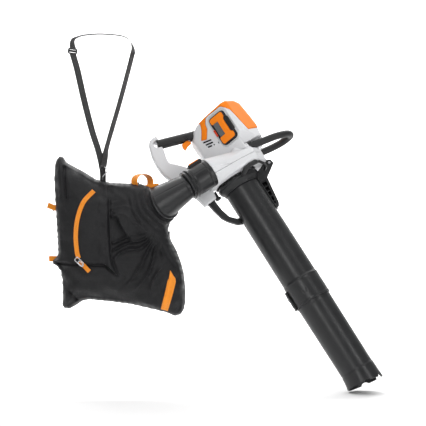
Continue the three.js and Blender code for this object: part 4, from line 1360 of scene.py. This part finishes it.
def dress_inner_pieces():
    """Give the hidden working parts their own finishes and softened edges."""
    for (_, material), names in INNER:
        for name in names:
            obj = bpy.data.objects[name]
            for slot in obj.material_slots:
                slot.material = material
            edge = obj.modifiers.new("soft edges", "BEVEL")
            edge.width = 0.0004
            edge.segments = 2
            edge.limit_method = "ANGLE"


build_fan_housing()
build_motor_housing()
build_battery()
build_handles()
build_front_loop()
build_tube()
build_elbow()
build_elbow_latch()
build_bag()
build_front_tapes()
build_buckle()
build_loops()
build_strap()
build_strap_fittings()
dress_inner_pieces()


# ---- camera, light and floor ----


def build_stage():
    scene = bpy.context.scene
    camera = bpy.data.cameras.new("camera")
    camera.sensor_width = 36
    camera.lens = 105.6
    eye = linked("camera", camera)
    eye.location = (0.1189, -4.0374, -0.2316)
    eye.rotation_euler = (math.radians(90), 0, 0)
    scene.camera = eye
    scene.view_settings.view_transform = "Standard"
    scene.world = bpy.data.worlds.new("studio")
    scene.world.use_nodes = True
    background = scene.world.node_tree.nodes["Background"]
    background.inputs["Color"].default_value = (1, 1, 1, 1)
    background.inputs["Strength"].default_value = 0.36


def soft_light(name, place, aim, size, power):
    data = bpy.data.lights.new(name, "AREA")
    data.shape = "RECTANGLE"
    data.size, data.size_y = size
    data.energy = power
    light = linked(name, data)
    light.location = place
    light.rotation_euler = (Vector(aim) - Vector(place)).to_track_quat("-Z", "Y").to_euler()


def build_floor():
    """A pale floor that curves up into a wall far behind the object."""
    look = Look("pale floor", (0.9, 0.9, 0.9), 0.8)
    look.bump(look.noise(look.place(), 300, 3), 0.0002, 0.3)
    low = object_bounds()[0][2] - 0.002
    flat_end, curve, half, tall = 5.4, 1.4, 8, 7
    rows = [(-half, low), (flat_end, low)]
    for t in np.linspace(0.1, math.pi / 2, 12):
        rows.append((flat_end + curve * math.sin(t), low + curve * (1 - math.cos(t))))
    rows.append((flat_end + curve, low + tall))
    points = [(x, y, z) for y, z in rows for x in (-half, half)]
    faces = [(2 * i, 2 * i + 1, 2 * i + 3, 2 * i + 2) for i in range(len(rows) - 1)]
    mesh = bpy.data.meshes.new("floor")
    mesh.from_pydata(points, [], faces)
    mesh.materials.append(look.material)
    mesh.shade_smooth()
    floor = linked("floor", mesh)


build_stage()
build_floor()
soft_light("overhead", (0, 0, 2.7), (0, 0.1, 0), (4.5, 4.5), 84)
soft_light("front strip", (-0.9, -3.9, 1.0), (0.1, 0, -0.3), (0.35, 2.4), 34)
soft_light("side strip", (2.3, -2.6, 0.4), (0, 0, -0.3), (0.5, 2.4), 26)
soft_light("backdrop", (0, 3.4, 3.6), (0, 5.8, -0.6), (8, 1.6), 620)
